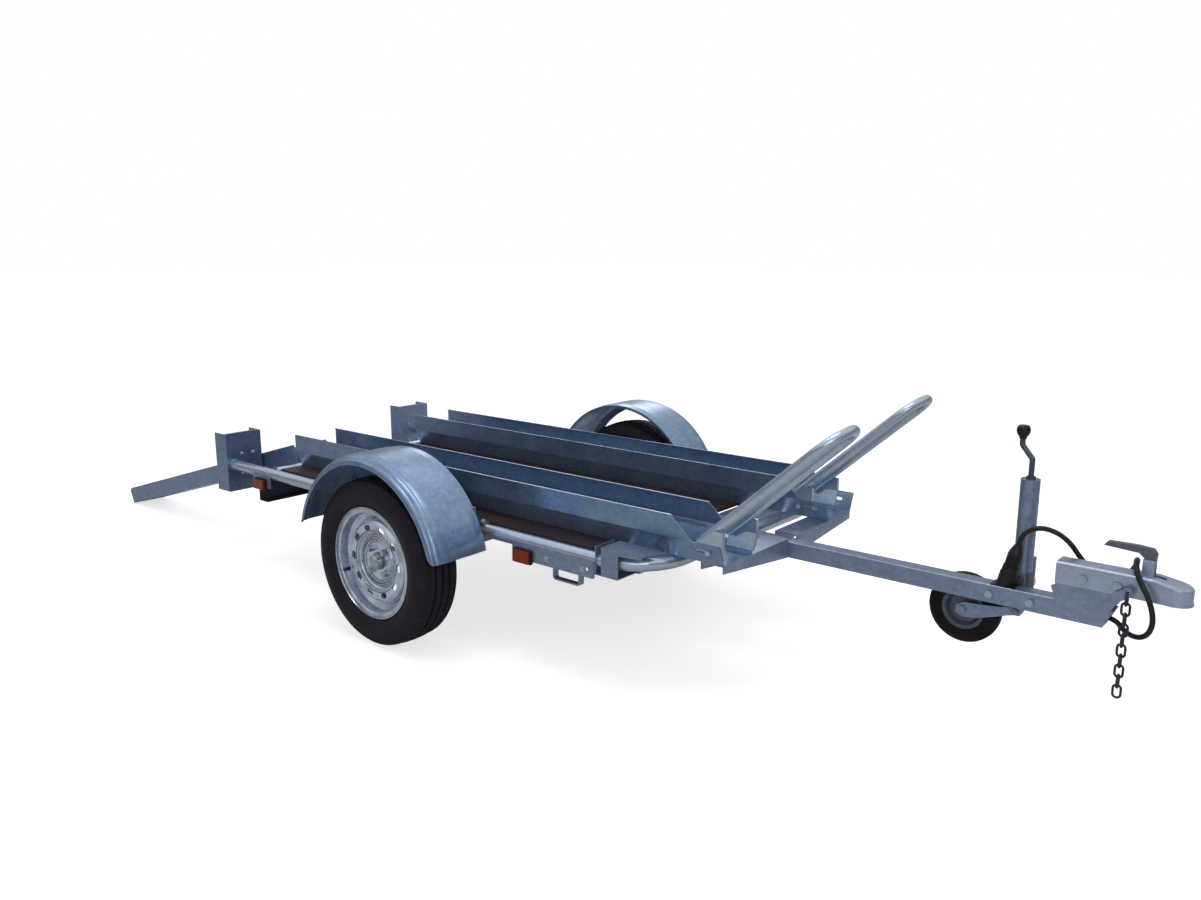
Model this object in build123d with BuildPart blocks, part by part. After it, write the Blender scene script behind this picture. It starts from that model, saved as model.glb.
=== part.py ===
"""Two-rail motorcycle trailer in galvanised steel, with a loading ramp, ball coupling and jockey wheel.

Millimetres, +Z up, +X towards the coupling, +Y to the trailer's left. The origin is on the ground, in the
middle of the trailer's length and width. Lengths that start at the axle are turned into X by from_axle().
"""
import os
from math import atan2, cos, degrees, hypot, radians, sin, tan

from build123d import *

# Overall places
AXLE_X = 113.5            # the axle stands this far ahead of the middle of the overall length
SIDES = ((-1, "right"), (1, "left"))
FIT = 0.3                 # gap between pieces that are bolted or hooked together
RUNNING = 0.05            # radial clearance of a shaft in its bearing or bore


def from_axle(distance):
    return AXLE_X + distance


# Wheels: 155/70 tyre on a 13 inch rim
TYRE_R = 273.5
TYRE_HALF_W = 78.5
TYRE_WALL = 9.0
BEAD_R = 165.0
FLANGE_R = 182.5
RIM_W = 134.0             # over the two flanges
RIM_FACE_Y = 715.0        # outer flange face from the centreline
WHEEL_Y = RIM_FACE_Y - RIM_W / 2
RIM_T = 3.5
DISC_SEAT = 42.0          # hub face inboard of the outer flange face
DISC_T = 4.0
VENT_COUNT = 10
VENT_PITCH_R = 112.0
BOLT_PCD = 100.0
BOLT_COUNT = 4
WHEEL_BOLT_D = 12.0
HUB_FLANGE_R = 65.0
HUB_FLANGE_T = 10.0
HUB_BODY_R = 37.0
PILOT_R = 28.0
BEARING_R = 31.0
BEARING_L = 37.0
STUB_R = 17.5
CAP_R = 25.0
CAP_L = 22.0

# Suspension and axle
ARM_PIVOT_X = from_axle(140)
ARM_PIVOT_Z = 325.0
ARM_Y = 545.0             # inboard face of the arm
ARM_T = 22.0
BEAM_SIDE = 55.0
BEAM_WALL = 4.0
ARM_BAR_SIDE = 28.0
ARM_BAR_L = 140.0
JOURNAL_R = 20.0
BUSH_L = 40.0
SADDLE_L = 110.0

# Frame
TUBE_D = 42.4
TUBE_WALL = 3.2
TUBE_Y = 490.0
TUBE_Z = 390.0
TUBE_REAR = from_axle(-1160)
TUBE_BEND_R = 170.0
TUBE_FRONT = from_axle(935)
DECK_TOP = TUBE_Z + TUBE_D / 2
DECK_T = 9.0
DECK_REAR = from_axle(-862)
DECK_FRONT = from_axle(765)
DECK_EDGE = 3.0           # the board stops this far short of the side tubes
SHEET_T = 3.0
REAR_TUBE_X = from_axle(-900)
FRONT_CROSS_REAR = from_axle(790)
FRONT_CROSS_W = 72.0
FRONT_CROSS_H = 58.0
SADDLE_REAR = from_axle(768)    # folded box over each side tube, at the front crossmember's ends
SADDLE_BOX_REAR = from_axle(790)
SADDLE_BOX_FRONT = from_axle(850)
SADDLE_TOP = 437.0
SADDLE_LOW = 353.0
SADDLE_SHELF = from_axle(934)
REAR_CROSS_REAR = from_axle(-955)
REAR_CROSS_W = 55.0
REAR_CROSS_H = 88.0
REAR_CROSS_Y = 511.0
BEARER_W = 40.0
BEARER_H = 42.0
BEARER_XS = (from_axle(-780), from_axle(-280), from_axle(310))
OUTRIGGER_REAR = from_axle(1030)
OUTRIGGER_W = 75.0
OUTRIGGER_TIP_H = 22.0

# Drawbar
BAR_SIDE = 50.0
BAR_WALL = 3.0
BAR_TOP = DECK_TOP - DECK_T
BAR_REAR = BEARER_XS[2] + BEARER_W / 2
BAR_FRONT_LOW = from_axle(1973)
BAR_END_SLANT = 0.475     # the end's lean, ahead per height
CABLE_D = 13.0

# Rails
RAIL_Y = 300.0
RAIL_REAR = from_axle(-866)
RAIL_FRONT = from_axle(1105)
RAIL_T = 2.5
RAIL_FLOOR_HALF = 72.0
RAIL_HALF = 95.0
RAIL_CREASE_Z = 470.0
RAIL_TOP_Z = 534.0
RAIL_LIP = 7.0
WING_CUT_TOP = from_axle(940)
WING_CUT_LOW = from_axle(1012)
WING_HOLE_X = from_axle(923)
WING_HOLE_Z = 514.0
FOLD_R = 5.0
DECK_BOLT_D = 8.0
DECK_BOLT_SINK = 1.4       # depth of the flat heads' seats in the rail's floor

# Front-wheel hoops
HOOP_D = 27.0
HOOP_WALL = 2.6
HOOP_LEG_Y = 74.0
HOOP_FOOT_X = from_axle(1026)
HOOP_FOOT_Z = 464.0
HOOP_ANGLE = 41.5
HOOP_LEG_L = 455.0
HOOP_SETBACK = 60.0       # the left hoop stands this far back in its slots
CHEEK_T = 4.0
CHEEK_L = 92.0
CHEEK_REAR = from_axle(1020)
CHEEK_TOP_Z = 512.0
CHEEK_LOW_Z = 424.0
CHEEK_FLANGE = 12.0
SLOT_Z = 446.0
HOOP_BOLT_D = 8.0

# Mudguards
GUARD_X = from_axle(5)
GUARD_Z = 272.0
GUARD_R = 354.0
GUARD_LIP_R = 324.0
GUARD_OUT_Y = 744.0
GUARD_IN_Y = 538.0
GUARD_SHOULDER = 46.0
GUARD_FRONT_ANGLE = 12.0
GUARD_REAR_ANGLE = 166.0
GUARD_T = 1.6
GUARD_CORNER_SWEEP = 10.0  # how far each lip's rounded corner reaches along the arc
GUARD_BRACKET_W = 30.0
GUARD_BRACKET_T = 4.0

# Side plates, markers and lashing loops
PLATE_T = 4.0
PLATE_LOW = 338.0
PLATE_TOP = 389.0
PLATE_SPANS = ((from_axle(440), from_axle(765)), (from_axle(-985), from_axle(-870)))
MARKER_XS = (from_axle(489), from_axle(-930))
MARKER_Z = 352.0
MARKER_L = 74.0
MARKER_H = 44.0
MARKER_BASE_T = 8.0
MARKER_LENS_T = 9.0
LOOP_X = from_axle(655)
LOOP_L = 104.0
LOOP_DROP = 36.0
LOOP_T = 5.0
LOOP_W = 20.0

# Lamp boards
BOARD_T = 2.5
BOARD_OUT_Y = 521.0
BOARD_IN_Y = 366.0
BOARD_LOW = 281.0
BOARD_TOP = 517.0
BOARD_DEPTH = 82.0
LAMP_W = 104.0
LAMP_H = 200.0
LAMP_T = 38.0
LENS_T = 16.0

# Ramp
RAMP_Y = -284.0
RAMP_HALF = 76.0
RAMP_FLANGE = 75.0
RAMP_T = 3.0
RAMP_TAIL = from_axle(-2360)
HOOK_T = 4.0

# Coupling
BRACKET_REAR = from_axle(1849)
BRACKET_FRONT = from_axle(2011)
BRACKET_T = 5.0
BRACKET_WING_LOW = 388.0
HEAD_LOW = 445.0
HEAD_TOP = 501.0
HEAD_HALF = 30.0
HEAD_WALL = 4.0
HEAD_REAR_LOW = from_axle(1857)
HEAD_REAR_TOP = from_axle(1890)
HEAD_BOLT_XS = (from_axle(1921), from_axle(2000))
HEAD_BOLT_Z = 468.0
HEAD_BOLT_D = 12.0
BALL_X = from_axle(2120)
BALL_Z = 460.0
BALL_R = 25.0
CUP_R = 36.0
LIP_R = 38.0
LIP_T = 4.0
NOSE_TOP = 486.0
PIVOT_X = from_axle(2057)
PIVOT_Z = 528.0
PIVOT_R = 5.0
HANDLE_W = 17.0
HANDLE_TIP_X = from_axle(1955)
HANDLE_TIP_Z = 563.0
JAW_PIVOT_X = from_axle(2078)
JAW_PIVOT_Z = 482.0

# Jockey wheel
JOCKEY_X = from_axle(1750)
JOCKEY_Y = 68.0
JOCKEY_R = 24.0
JOCKEY_WALL = 2.5
JOCKEY_TOP = 676.0
JOCKEY_LOW = 345.0
INNER_R = 20.5
INNER_LOW = 330.0
INNER_L = 250.0
CLAMP_LOW = 352.0
CLAMP_H = 74.0
CLAMP_T = 6.0
CLAMP_BOLT_HALF = 51.5
CLAMP_BOLT_Z = 377.0
FORK_PIN_X = from_axle(1740)
FORK_PIN_Z = 318.0
JOCKEY_AXLE_X = from_axle(1608)
JOCKEY_AXLE_Z = 294.0
JOCKEY_WHEEL_R = 98.0
JOCKEY_WHEEL_W = 48.0
JOCKEY_RIM_R = 58.0
FORK_T = 3.5
FORK_HALF = 29.0
JOCKEY_PIN_R = 7.0
ROD_R = 7.0
KNOB_R = 17.0
KNOB_THROW = 28.0
KNOB_PIN_R = 4.0

# Safety chain
CHAIN_Y = -48.0
CHAIN_X = from_axle(2026)
CHAIN_TOP = 462.0
LINK_WIRE = 6.0
LINK_IN_L = 26.0
LINK_IN_W = 12.0

# Parked plug
PLUG_FOOT = (from_axle(1737), 0.0, 438.0)
PLUG_LEAN = 13.0
PLUG_L = 80.0
PLUG_R = 17.0

def side_plane(y):
    """An upright plane along the trailer at this Y: local x is X, local y is Z, and it faces -Y."""
    return Plane(origin=(0, y, 0), x_dir=(1, 0, 0), z_dir=(0, -1, 0))


os.makedirs("parts", exist_ok=True)

# Frame tubes: each side tube runs forward, bends in and ends at the drawbar's side
for side, hand in SIDES:
    with BuildPart() as side_tube:
        with BuildLine():
            FilletPolyline(
                (TUBE_REAR, side * TUBE_Y, TUBE_Z),
                (TUBE_FRONT, side * TUBE_Y, TUBE_Z),
                (TUBE_FRONT, side * BAR_SIDE / 2, TUBE_Z),
                radius=TUBE_BEND_R,
            )
        with BuildSketch(Plane(origin=(TUBE_REAR, side * TUBE_Y, TUBE_Z), x_dir=(0, 1, 0), z_dir=(1, 0, 0))):
            Circle(TUBE_D / 2)
            Circle(TUBE_D / 2 - TUBE_WALL, mode=Mode.SUBTRACT)
        sweep()
    side_tube.part.label = f"side_tube_{hand}"
    export_step(side_tube.part, f"parts/side_tube_{hand}.step")

inner_tube_y = TUBE_Y - TUBE_D / 2
with BuildPart() as rear_cross_tube:
    with BuildSketch(side_plane(0)):
        with Locations((REAR_TUBE_X, TUBE_Z)):
            Circle(TUBE_D / 2)
            Circle(TUBE_D / 2 - TUBE_WALL, mode=Mode.SUBTRACT)
    extrude(amount=inner_tube_y, both=True)
rear_cross_tube.part.label = "rear_cross_tube"
export_step(rear_cross_tube.part, "parts/rear_cross_tube.step")

# Bolts that hold the rails and the deck: in pairs under each rail, over each bearer
rail_floor_z = DECK_TOP + RAIL_T
deck_bolt_xs = BEARER_XS + (FRONT_CROSS_REAR + FRONT_CROSS_W / 2,)
deck_bolt_ys = tuple(side * (RAIL_Y + across) for side in (-1, 1) for across in (-40, 40))
bolt_places = [(x, y) for x in deck_bolt_xs for y in deck_bolt_ys]

# Front crossmember: a channel that opens to the rear, notched for the drawbar, with a folded box at each end
front_cross_y = 432.0 - FIT
front_cross_front = FRONT_CROSS_REAR + FRONT_CROSS_W
front_cross_low = DECK_TOP - FRONT_CROSS_H
with BuildPart() as crossmember_front:
    with BuildSketch(side_plane(0)):
        with BuildLine():
            Polyline(
                (FRONT_CROSS_REAR, front_cross_low + 14),
                (FRONT_CROSS_REAR, front_cross_low),
                (front_cross_front, front_cross_low),
                (front_cross_front, DECK_TOP),
                (FRONT_CROSS_REAR, DECK_TOP),
                (FRONT_CROSS_REAR, DECK_TOP - 14),
            )
            offset(amount=SHEET_T, side=Side.LEFT)
        make_face()
    extrude(amount=front_cross_y, both=True)
    with BuildSketch(Plane.YZ.offset(FRONT_CROSS_REAR - 1)):
        with Locations((0, BAR_TOP + FIT)):
            Rectangle(BAR_SIDE + 2 * FIT, 2 * FRONT_CROSS_H, align=(Align.CENTER, Align.MAX))
    extrude(amount=FRONT_CROSS_W + 2, mode=Mode.SUBTRACT)
    with BuildSketch(Plane.XY.offset(DECK_TOP + 1)):
        with Locations(bolt_places):
            Circle(DECK_BOLT_D / 2 + FIT)
    extrude(amount=-SHEET_T - 2, mode=Mode.SUBTRACT)
    for side, hand in SIDES:
        saddle_in_y = side * (front_cross_y - SHEET_T)
        saddle_out_y = side * (TUBE_Y + TUBE_D / 2 + FIT + SHEET_T)
        saddle_mid_y = (saddle_in_y + saddle_out_y) / 2
        saddle_half = abs(saddle_out_y - saddle_in_y) / 2
        with BuildSketch(side_plane(saddle_mid_y)):
            with Locations(((SADDLE_BOX_REAR + SADDLE_BOX_FRONT) / 2, (SADDLE_LOW + SADDLE_TOP) / 2)):
                Rectangle(SADDLE_BOX_FRONT - SADDLE_BOX_REAR, SADDLE_TOP - SADDLE_LOW)
                Rectangle(
                    SADDLE_BOX_FRONT - SADDLE_BOX_REAR + 2, SADDLE_TOP - SADDLE_LOW - 2 * SHEET_T,
                    mode=Mode.SUBTRACT,
                )
            with Locations(((SADDLE_REAR + SADDLE_BOX_REAR) / 2, SADDLE_LOW)):
                Rectangle(SADDLE_BOX_REAR - SADDLE_REAR, SHEET_T, align=(Align.CENTER, Align.MIN))
            with Locations((SADDLE_REAR, SADDLE_LOW)):
                Rectangle(SHEET_T, SADDLE_TOP - SADDLE_LOW, align=(Align.MIN, Align.MIN))
            with Locations((SADDLE_BOX_FRONT, SADDLE_TOP)):
                Rectangle(SADDLE_SHELF - SADDLE_BOX_FRONT, SHEET_T, align=(Align.MIN, Align.MAX))
        extrude(amount=saddle_half, both=True)
        with BuildSketch(side_plane(saddle_out_y)):
            with BuildLine():
                Polyline(
                    (SADDLE_BOX_REAR, SADDLE_LOW), (SADDLE_BOX_FRONT, SADDLE_LOW),
                    (SADDLE_BOX_FRONT, SADDLE_TOP - 14), (SADDLE_SHELF, SADDLE_TOP - 9),
                    (SADDLE_SHELF, SADDLE_TOP), (SADDLE_BOX_REAR, SADDLE_TOP), close=True,
                )
            make_face()
        extrude(amount=side * SHEET_T)
        with BuildLine():
            FilletPolyline(
                (SADDLE_REAR - 40, side * TUBE_Y, TUBE_Z),
                (TUBE_FRONT, side * TUBE_Y, TUBE_Z),
                (TUBE_FRONT, side * BAR_SIDE, TUBE_Z),
                radius=TUBE_BEND_R,
            )
        with BuildSketch(Plane(origin=(SADDLE_REAR - 40, side * TUBE_Y, TUBE_Z), x_dir=(0, 1, 0), z_dir=(1, 0, 0))):
            Circle(TUBE_D / 2)
        sweep(mode=Mode.SUBTRACT)
crossmember_front.part.label = "crossmember_front"
export_step(crossmember_front.part, "parts/crossmember_front.step")

# Rear crossmember: a deep channel under the side tubes, open to the front
rear_cross_top = TUBE_Z - TUBE_D / 2
rear_cross_front = REAR_CROSS_REAR + REAR_CROSS_W
with BuildPart() as crossmember_rear:
    with BuildSketch(side_plane(0)):
        with BuildLine():
            Polyline(
                (rear_cross_front, rear_cross_top),
                (REAR_CROSS_REAR, rear_cross_top),
                (REAR_CROSS_REAR, rear_cross_top - REAR_CROSS_H),
                (rear_cross_front, rear_cross_top - REAR_CROSS_H),
            )
            offset(amount=SHEET_T, side=Side.LEFT)
        make_face()
    extrude(amount=REAR_CROSS_Y, both=True)
crossmember_rear.part.label = "crossmember_rear"
export_step(crossmember_rear.part, "parts/crossmember_rear.step")

# Deck bearers: channels between the side tubes, under the plywood
bearer_top = DECK_TOP - DECK_T
with BuildPart() as deck_bearers:
    for x in BEARER_XS:
        with BuildSketch(side_plane(0)):
            with BuildLine():
                Polyline(
                    (x - BEARER_W / 2, bearer_top),
                    (x + BEARER_W / 2, bearer_top),
                    (x + BEARER_W / 2, bearer_top - BEARER_H),
                    (x - BEARER_W / 2, bearer_top - BEARER_H),
                )
                offset(amount=SHEET_T, side=Side.RIGHT)
            make_face()
        extrude(amount=inner_tube_y, both=True)
    with BuildSketch(Plane.XY.offset(bearer_top + 1)):
        with Locations(bolt_places):
            Circle(DECK_BOLT_D / 2 + FIT)
    extrude(amount=-SHEET_T - 2, mode=Mode.SUBTRACT)
deck_bearers.part.label = "deck_bearers"
export_step(deck_bearers.part, "parts/deck_bearers.step")

# Outriggers: tapered channels, open below, from the drawbar's sides to under the rails' front ends
outrigger_tip = RAIL_Y + RAIL_FLOOR_HALF
with BuildPart() as outriggers:
    for side, hand in SIDES:
        with BuildSketch(Plane.YZ.offset(OUTRIGGER_REAR)):
            with BuildLine():
                Polyline(
                    (side * (BAR_SIDE / 2 + FIT), DECK_TOP),
                    (side * outrigger_tip, DECK_TOP),
                    (side * outrigger_tip, DECK_TOP - OUTRIGGER_TIP_H),
                    (side * (BAR_SIDE / 2 + FIT), DECK_TOP - DECK_T - BAR_SIDE),
                    close=True,
                )
            make_face()
        extrude(amount=OUTRIGGER_W)
    with BuildSketch(side_plane(0)):
        with Locations((OUTRIGGER_REAR + OUTRIGGER_W / 2, DECK_TOP - SHEET_T)):
            Rectangle(OUTRIGGER_W - 2 * SHEET_T, 2 * BAR_SIDE, align=(Align.CENTER, Align.MAX))
    extrude(amount=outrigger_tip + 1, both=True, mode=Mode.SUBTRACT)
outriggers.part.label = "outriggers"
export_step(outriggers.part, "parts/outriggers.step")

# Deck board with its bolt holes
deck_half = inner_tube_y - DECK_EDGE
with BuildPart() as deck_board:
    with BuildSketch(Plane.XY.offset(DECK_TOP - DECK_T)):
        with Locations(((DECK_REAR + DECK_FRONT) / 2, 0)):
            Rectangle(DECK_FRONT - DECK_REAR, 2 * deck_half)
        with Locations(bolt_places):
            Circle(DECK_BOLT_D / 2 + FIT, mode=Mode.SUBTRACT)
    extrude(amount=DECK_T)
deck_board.part.label = "deck_board"
export_step(deck_board.part, "parts/deck_board.step")

# Wheel rails: folded channels with sloped lower walls and upright wings
rail_section = (
    (-RAIL_HALF + RAIL_LIP, RAIL_TOP_Z),
    (-RAIL_HALF, RAIL_TOP_Z),
    (-RAIL_HALF, RAIL_CREASE_Z),
    (-RAIL_FLOOR_HALF, DECK_TOP),
    (RAIL_FLOOR_HALF, DECK_TOP),
    (RAIL_HALF, RAIL_CREASE_Z),
    (RAIL_HALF, RAIL_TOP_Z),
    (RAIL_HALF - RAIL_LIP, RAIL_TOP_Z),
)
slot_rear = CHEEK_REAR + CHEEK_L / 2 - HOOP_SETBACK
slot_front = CHEEK_REAR + CHEEK_L / 2
for side, hand in SIDES:
    with BuildPart() as rail:
        with BuildSketch(Plane.YZ.offset(RAIL_REAR)):
            with BuildLine():
                Polyline([(side * RAIL_Y + y, z) for y, z in rail_section])
                offset(amount=RAIL_T, side=Side.LEFT)
            make_face()
        extrude(amount=RAIL_FRONT - RAIL_REAR)
        with BuildSketch(side_plane(side * RAIL_Y)):
            with BuildLine():
                Polyline(
                    (WING_CUT_TOP, RAIL_TOP_Z + 1),
                    (WING_CUT_LOW, RAIL_CREASE_Z),
                    (RAIL_FRONT + 1, RAIL_CREASE_Z),
                    (RAIL_FRONT + 1, RAIL_TOP_Z + 1),
                    close=True,
                )
            make_face()
            with Locations((WING_HOLE_X, WING_HOLE_Z)):
                Circle(4)
            with Locations(((slot_rear + slot_front) / 2, SLOT_Z)):
                SlotCenterToCenter(slot_front - slot_rear, HOOP_BOLT_D + 2 * FIT)
        extrude(amount=RAIL_HALF + 1, both=True, mode=Mode.SUBTRACT)
        with BuildSketch(Plane.XY.offset(DECK_TOP - 1)):
            with Locations(bolt_places):
                Circle(DECK_BOLT_D / 2 + FIT)
        extrude(amount=RAIL_T + 2, mode=Mode.SUBTRACT)
        with BuildSketch(Plane.XY.offset(rail_floor_z - DECK_BOLT_SINK)):
            with Locations(bolt_places):
                Circle(DECK_BOLT_D + FIT)
        extrude(amount=DECK_BOLT_SINK + 1, mode=Mode.SUBTRACT)
    rail.part.label = f"rail_{hand}"
    export_step(rail.part, f"parts/rail_{hand}.step")

# Coach bolts that hold the rails and the deck down, with their nuts
with BuildPart() as deck_bolts:
    with BuildSketch(Plane.XY.offset(bearer_top - SHEET_T - 12)):
        with Locations(bolt_places):
            Circle(DECK_BOLT_D / 2)
    extrude(amount=rail_floor_z - DECK_BOLT_SINK + 0.5 - (bearer_top - SHEET_T - 12))
    with BuildSketch(Plane.XY.offset(rail_floor_z - DECK_BOLT_SINK)):
        with Locations(bolt_places):
            Circle(DECK_BOLT_D)
    extrude(amount=DECK_BOLT_SINK - 0.1)
    for x in deck_bolt_xs:
        flange_low = (DECK_TOP if x > DECK_FRONT else bearer_top) - SHEET_T
        with BuildSketch(Plane.XY.offset(flange_low)):
            with Locations([(x, y) for y in deck_bolt_ys]):
                RegularPolygon(DECK_BOLT_D * 0.8, 6, major_radius=False)
        extrude(amount=-6.5)
deck_bolts.part.label = "deck_bolts"
export_step(deck_bolts.part, "parts/deck_bolts.step")

# Drawbar: box section with a slanted front end, closed inside by a wall with the cable's hole
bar_low = BAR_TOP - BAR_SIDE
bar_mid = BAR_TOP - BAR_SIDE / 2
bar_front_top = BAR_FRONT_LOW + BAR_END_SLANT * BAR_SIDE
cable_wall_x = BAR_FRONT_LOW - 14
with BuildPart() as drawbar:
    with BuildSketch(Plane.YZ.offset(BAR_REAR)):
        with Locations((0, bar_mid)):
            RectangleRounded(BAR_SIDE, BAR_SIDE, FOLD_R)
            RectangleRounded(BAR_SIDE - 2 * BAR_WALL, BAR_SIDE - 2 * BAR_WALL, FOLD_R - BAR_WALL, mode=Mode.SUBTRACT)
    extrude(amount=bar_front_top - BAR_REAR)
    with BuildSketch(Plane.YZ.offset(cable_wall_x)):
        with Locations((0, bar_mid)):
            Rectangle(BAR_SIDE - BAR_WALL, BAR_SIDE - BAR_WALL)
    extrude(amount=-BAR_WALL)
    with BuildSketch(side_plane(0)):
        with BuildLine():
            Polyline(
                (BAR_FRONT_LOW, bar_low),
                (bar_front_top, BAR_TOP),
                (bar_front_top + 1, BAR_TOP + 1),
                (bar_front_top + 1, bar_low - 1),
                (BAR_FRONT_LOW, bar_low - 1),
                close=True,
            )
        make_face()
    extrude(amount=BAR_SIDE, both=True, mode=Mode.SUBTRACT)
    clamp_bolt_xs = (JOCKEY_X - CLAMP_BOLT_HALF, JOCKEY_X + CLAMP_BOLT_HALF)
    with BuildSketch(side_plane(0)):
        with Locations([(x, CLAMP_BOLT_Z) for x in clamp_bolt_xs]):
            Circle(HEAD_BOLT_D / 2 + FIT)
    extrude(amount=BAR_SIDE, both=True, mode=Mode.SUBTRACT)
drawbar.part.label = "drawbar"
export_step(drawbar.part, "parts/drawbar.step")

# Side plates under the side tubes, which carry the markers and the lashing loops
plate_in_y = TUBE_Y + TUBE_D / 2
plate_out_y = plate_in_y + PLATE_T
with BuildPart() as side_plates:
    for side, hand in SIDES:
        with BuildSketch(side_plane(side * (plate_in_y + PLATE_T / 2))):
            for rear, front in PLATE_SPANS:
                with Locations(((rear + front) / 2, (PLATE_LOW + PLATE_TOP) / 2)):
                    RectangleRounded(front - rear, PLATE_TOP - PLATE_LOW, 6)
            with Locations((LOOP_X + LOOP_L / 2 + 30, MARKER_Z + 10)):
                Circle(6, mode=Mode.SUBTRACT)
        extrude(amount=PLATE_T / 2, both=True)
side_plates.part.label = "side_plates"
export_step(side_plates.part, "parts/side_plates.step")

# Lashing loops: flat bar bent to a staple, welded behind the side plate
with BuildPart() as lashing_loops:
    for side, hand in SIDES:
        with BuildSketch(side_plane(side * (plate_in_y - LOOP_W / 2 - FIT))):
            with BuildLine():
                FilletPolyline(
                    (LOOP_X - LOOP_L / 2, TUBE_Z - TUBE_D / 2),
                    (LOOP_X - LOOP_L / 2, PLATE_LOW - LOOP_DROP),
                    (LOOP_X + LOOP_L / 2, PLATE_LOW - LOOP_DROP),
                    (LOOP_X + LOOP_L / 2, TUBE_Z - TUBE_D / 2),
                    radius=2 * LOOP_T,
                )
                offset(amount=LOOP_T, side=Side.LEFT)
            make_face()
        extrude(amount=LOOP_W / 2, both=True)
lashing_loops.part.label = "lashing_loops"
export_step(lashing_loops.part, "parts/lashing_loops.step")

# Side markers: a black base on the plate and an amber lens
with BuildPart() as side_markers:
    for side, hand in SIDES:
        with BuildSketch(side_plane(side * (plate_out_y + MARKER_BASE_T / 2))):
            with Locations([(x, MARKER_Z) for x in MARKER_XS]):
                RectangleRounded(MARKER_L, MARKER_H, 4)
        extrude(amount=MARKER_BASE_T / 2, both=True)
side_markers.part.label = "side_markers"
export_step(side_markers.part, "parts/side_markers.step")

with BuildPart() as side_marker_lenses:
    for side, hand in SIDES:
        lens_y = plate_out_y + MARKER_BASE_T
        with BuildSketch(side_plane(side * (lens_y + MARKER_LENS_T / 2))):
            with Locations([(x, MARKER_Z) for x in MARKER_XS]):
                RectangleRounded(MARKER_L - 10, MARKER_H - 6, 3)
        extrude(amount=MARKER_LENS_T / 2, both=True)
side_marker_lenses.part.label = "side_marker_lenses"
export_step(side_marker_lenses.part, "parts/side_marker_lenses.step")

# Lamp boards: trays of sheet that face the road behind, with a tall lamp in each
board_plane = Plane.YZ.offset(TUBE_REAR)
board_w = BOARD_OUT_Y - BOARD_IN_Y
board_h = BOARD_TOP - BOARD_LOW
board_z = (BOARD_TOP + BOARD_LOW) / 2
board_rear = TUBE_REAR - BOARD_T
for side, hand in SIDES:
    board_y = side * (BOARD_OUT_Y + BOARD_IN_Y) / 2
    with BuildPart() as lamp_board:
        with BuildSketch(board_plane):
            with Locations((board_y, board_z)):
                RectangleRounded(board_w, board_h, 4)
        extrude(amount=-BOARD_DEPTH)
        with BuildSketch(board_plane.offset(-BOARD_T)):
            with Locations((board_y, board_z)):
                Rectangle(board_w - 2 * BOARD_T, board_h - 2 * BOARD_T)
        extrude(amount=-BOARD_DEPTH, mode=Mode.SUBTRACT)
        with BuildSketch(side_plane(board_y)):
            with BuildLine():
                Polyline(
                    (board_rear - 14, BOARD_TOP + 1),
                    (board_rear - BOARD_DEPTH, BOARD_TOP + 1),
                    (board_rear - BOARD_DEPTH, BOARD_LOW - 1),
                    (board_rear - 14, BOARD_LOW - 1),
                    (board_rear - 14, BOARD_LOW + BOARD_T),
                    (board_rear - BOARD_DEPTH + 1, BOARD_LOW + BOARD_T),
                    (board_rear - BOARD_DEPTH + 1, BOARD_TOP - BOARD_T),
                    (board_rear - 14, BOARD_TOP - BOARD_T),
                    close=True,
                )
            make_face()
        extrude(amount=board_w / 2 - BOARD_T, both=True, mode=Mode.SUBTRACT)
    lamp_board.part.label = f"lamp_board_{hand}"
    export_step(lamp_board.part, f"parts/lamp_board_{hand}.step")

with BuildPart() as tail_lamps:
    for side, hand in SIDES:
        board_y = side * (BOARD_OUT_Y + BOARD_IN_Y) / 2
        with BuildSketch(Plane.YZ.offset(board_rear)):
            with Locations((board_y, board_z)):
                RectangleRounded(LAMP_W, LAMP_H, 8)
        extrude(amount=-LAMP_T)
tail_lamps.part.label = "tail_lamps"
export_step(tail_lamps.part, "parts/tail_lamps.step")

with BuildPart() as tail_lamp_lenses:
    for side, hand in SIDES:
        board_y = side * (BOARD_OUT_Y + BOARD_IN_Y) / 2
        with BuildSketch(Plane.YZ.offset(board_rear - LAMP_T)):
            with Locations((board_y, board_z)):
                RectangleRounded(LAMP_W - 6, LAMP_H - 6, 7)
        extrude(amount=-LENS_T, taper=8)
tail_lamp_lenses.part.label = "tail_lamp_lenses"
export_step(tail_lamp_lenses.part, "parts/tail_lamp_lenses.step")

# Mudguards: rolled sheet with a beaded shoulder that turns down to an outer lip
shoulder_y = GUARD_OUT_Y - GUARD_SHOULDER


def guard_point(radius, angle):
    """X and Z of a point at this radius and angle round the mudguard's centre."""
    return GUARD_X + radius * cos(radians(angle)), GUARD_Z + radius * sin(radians(angle))


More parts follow.
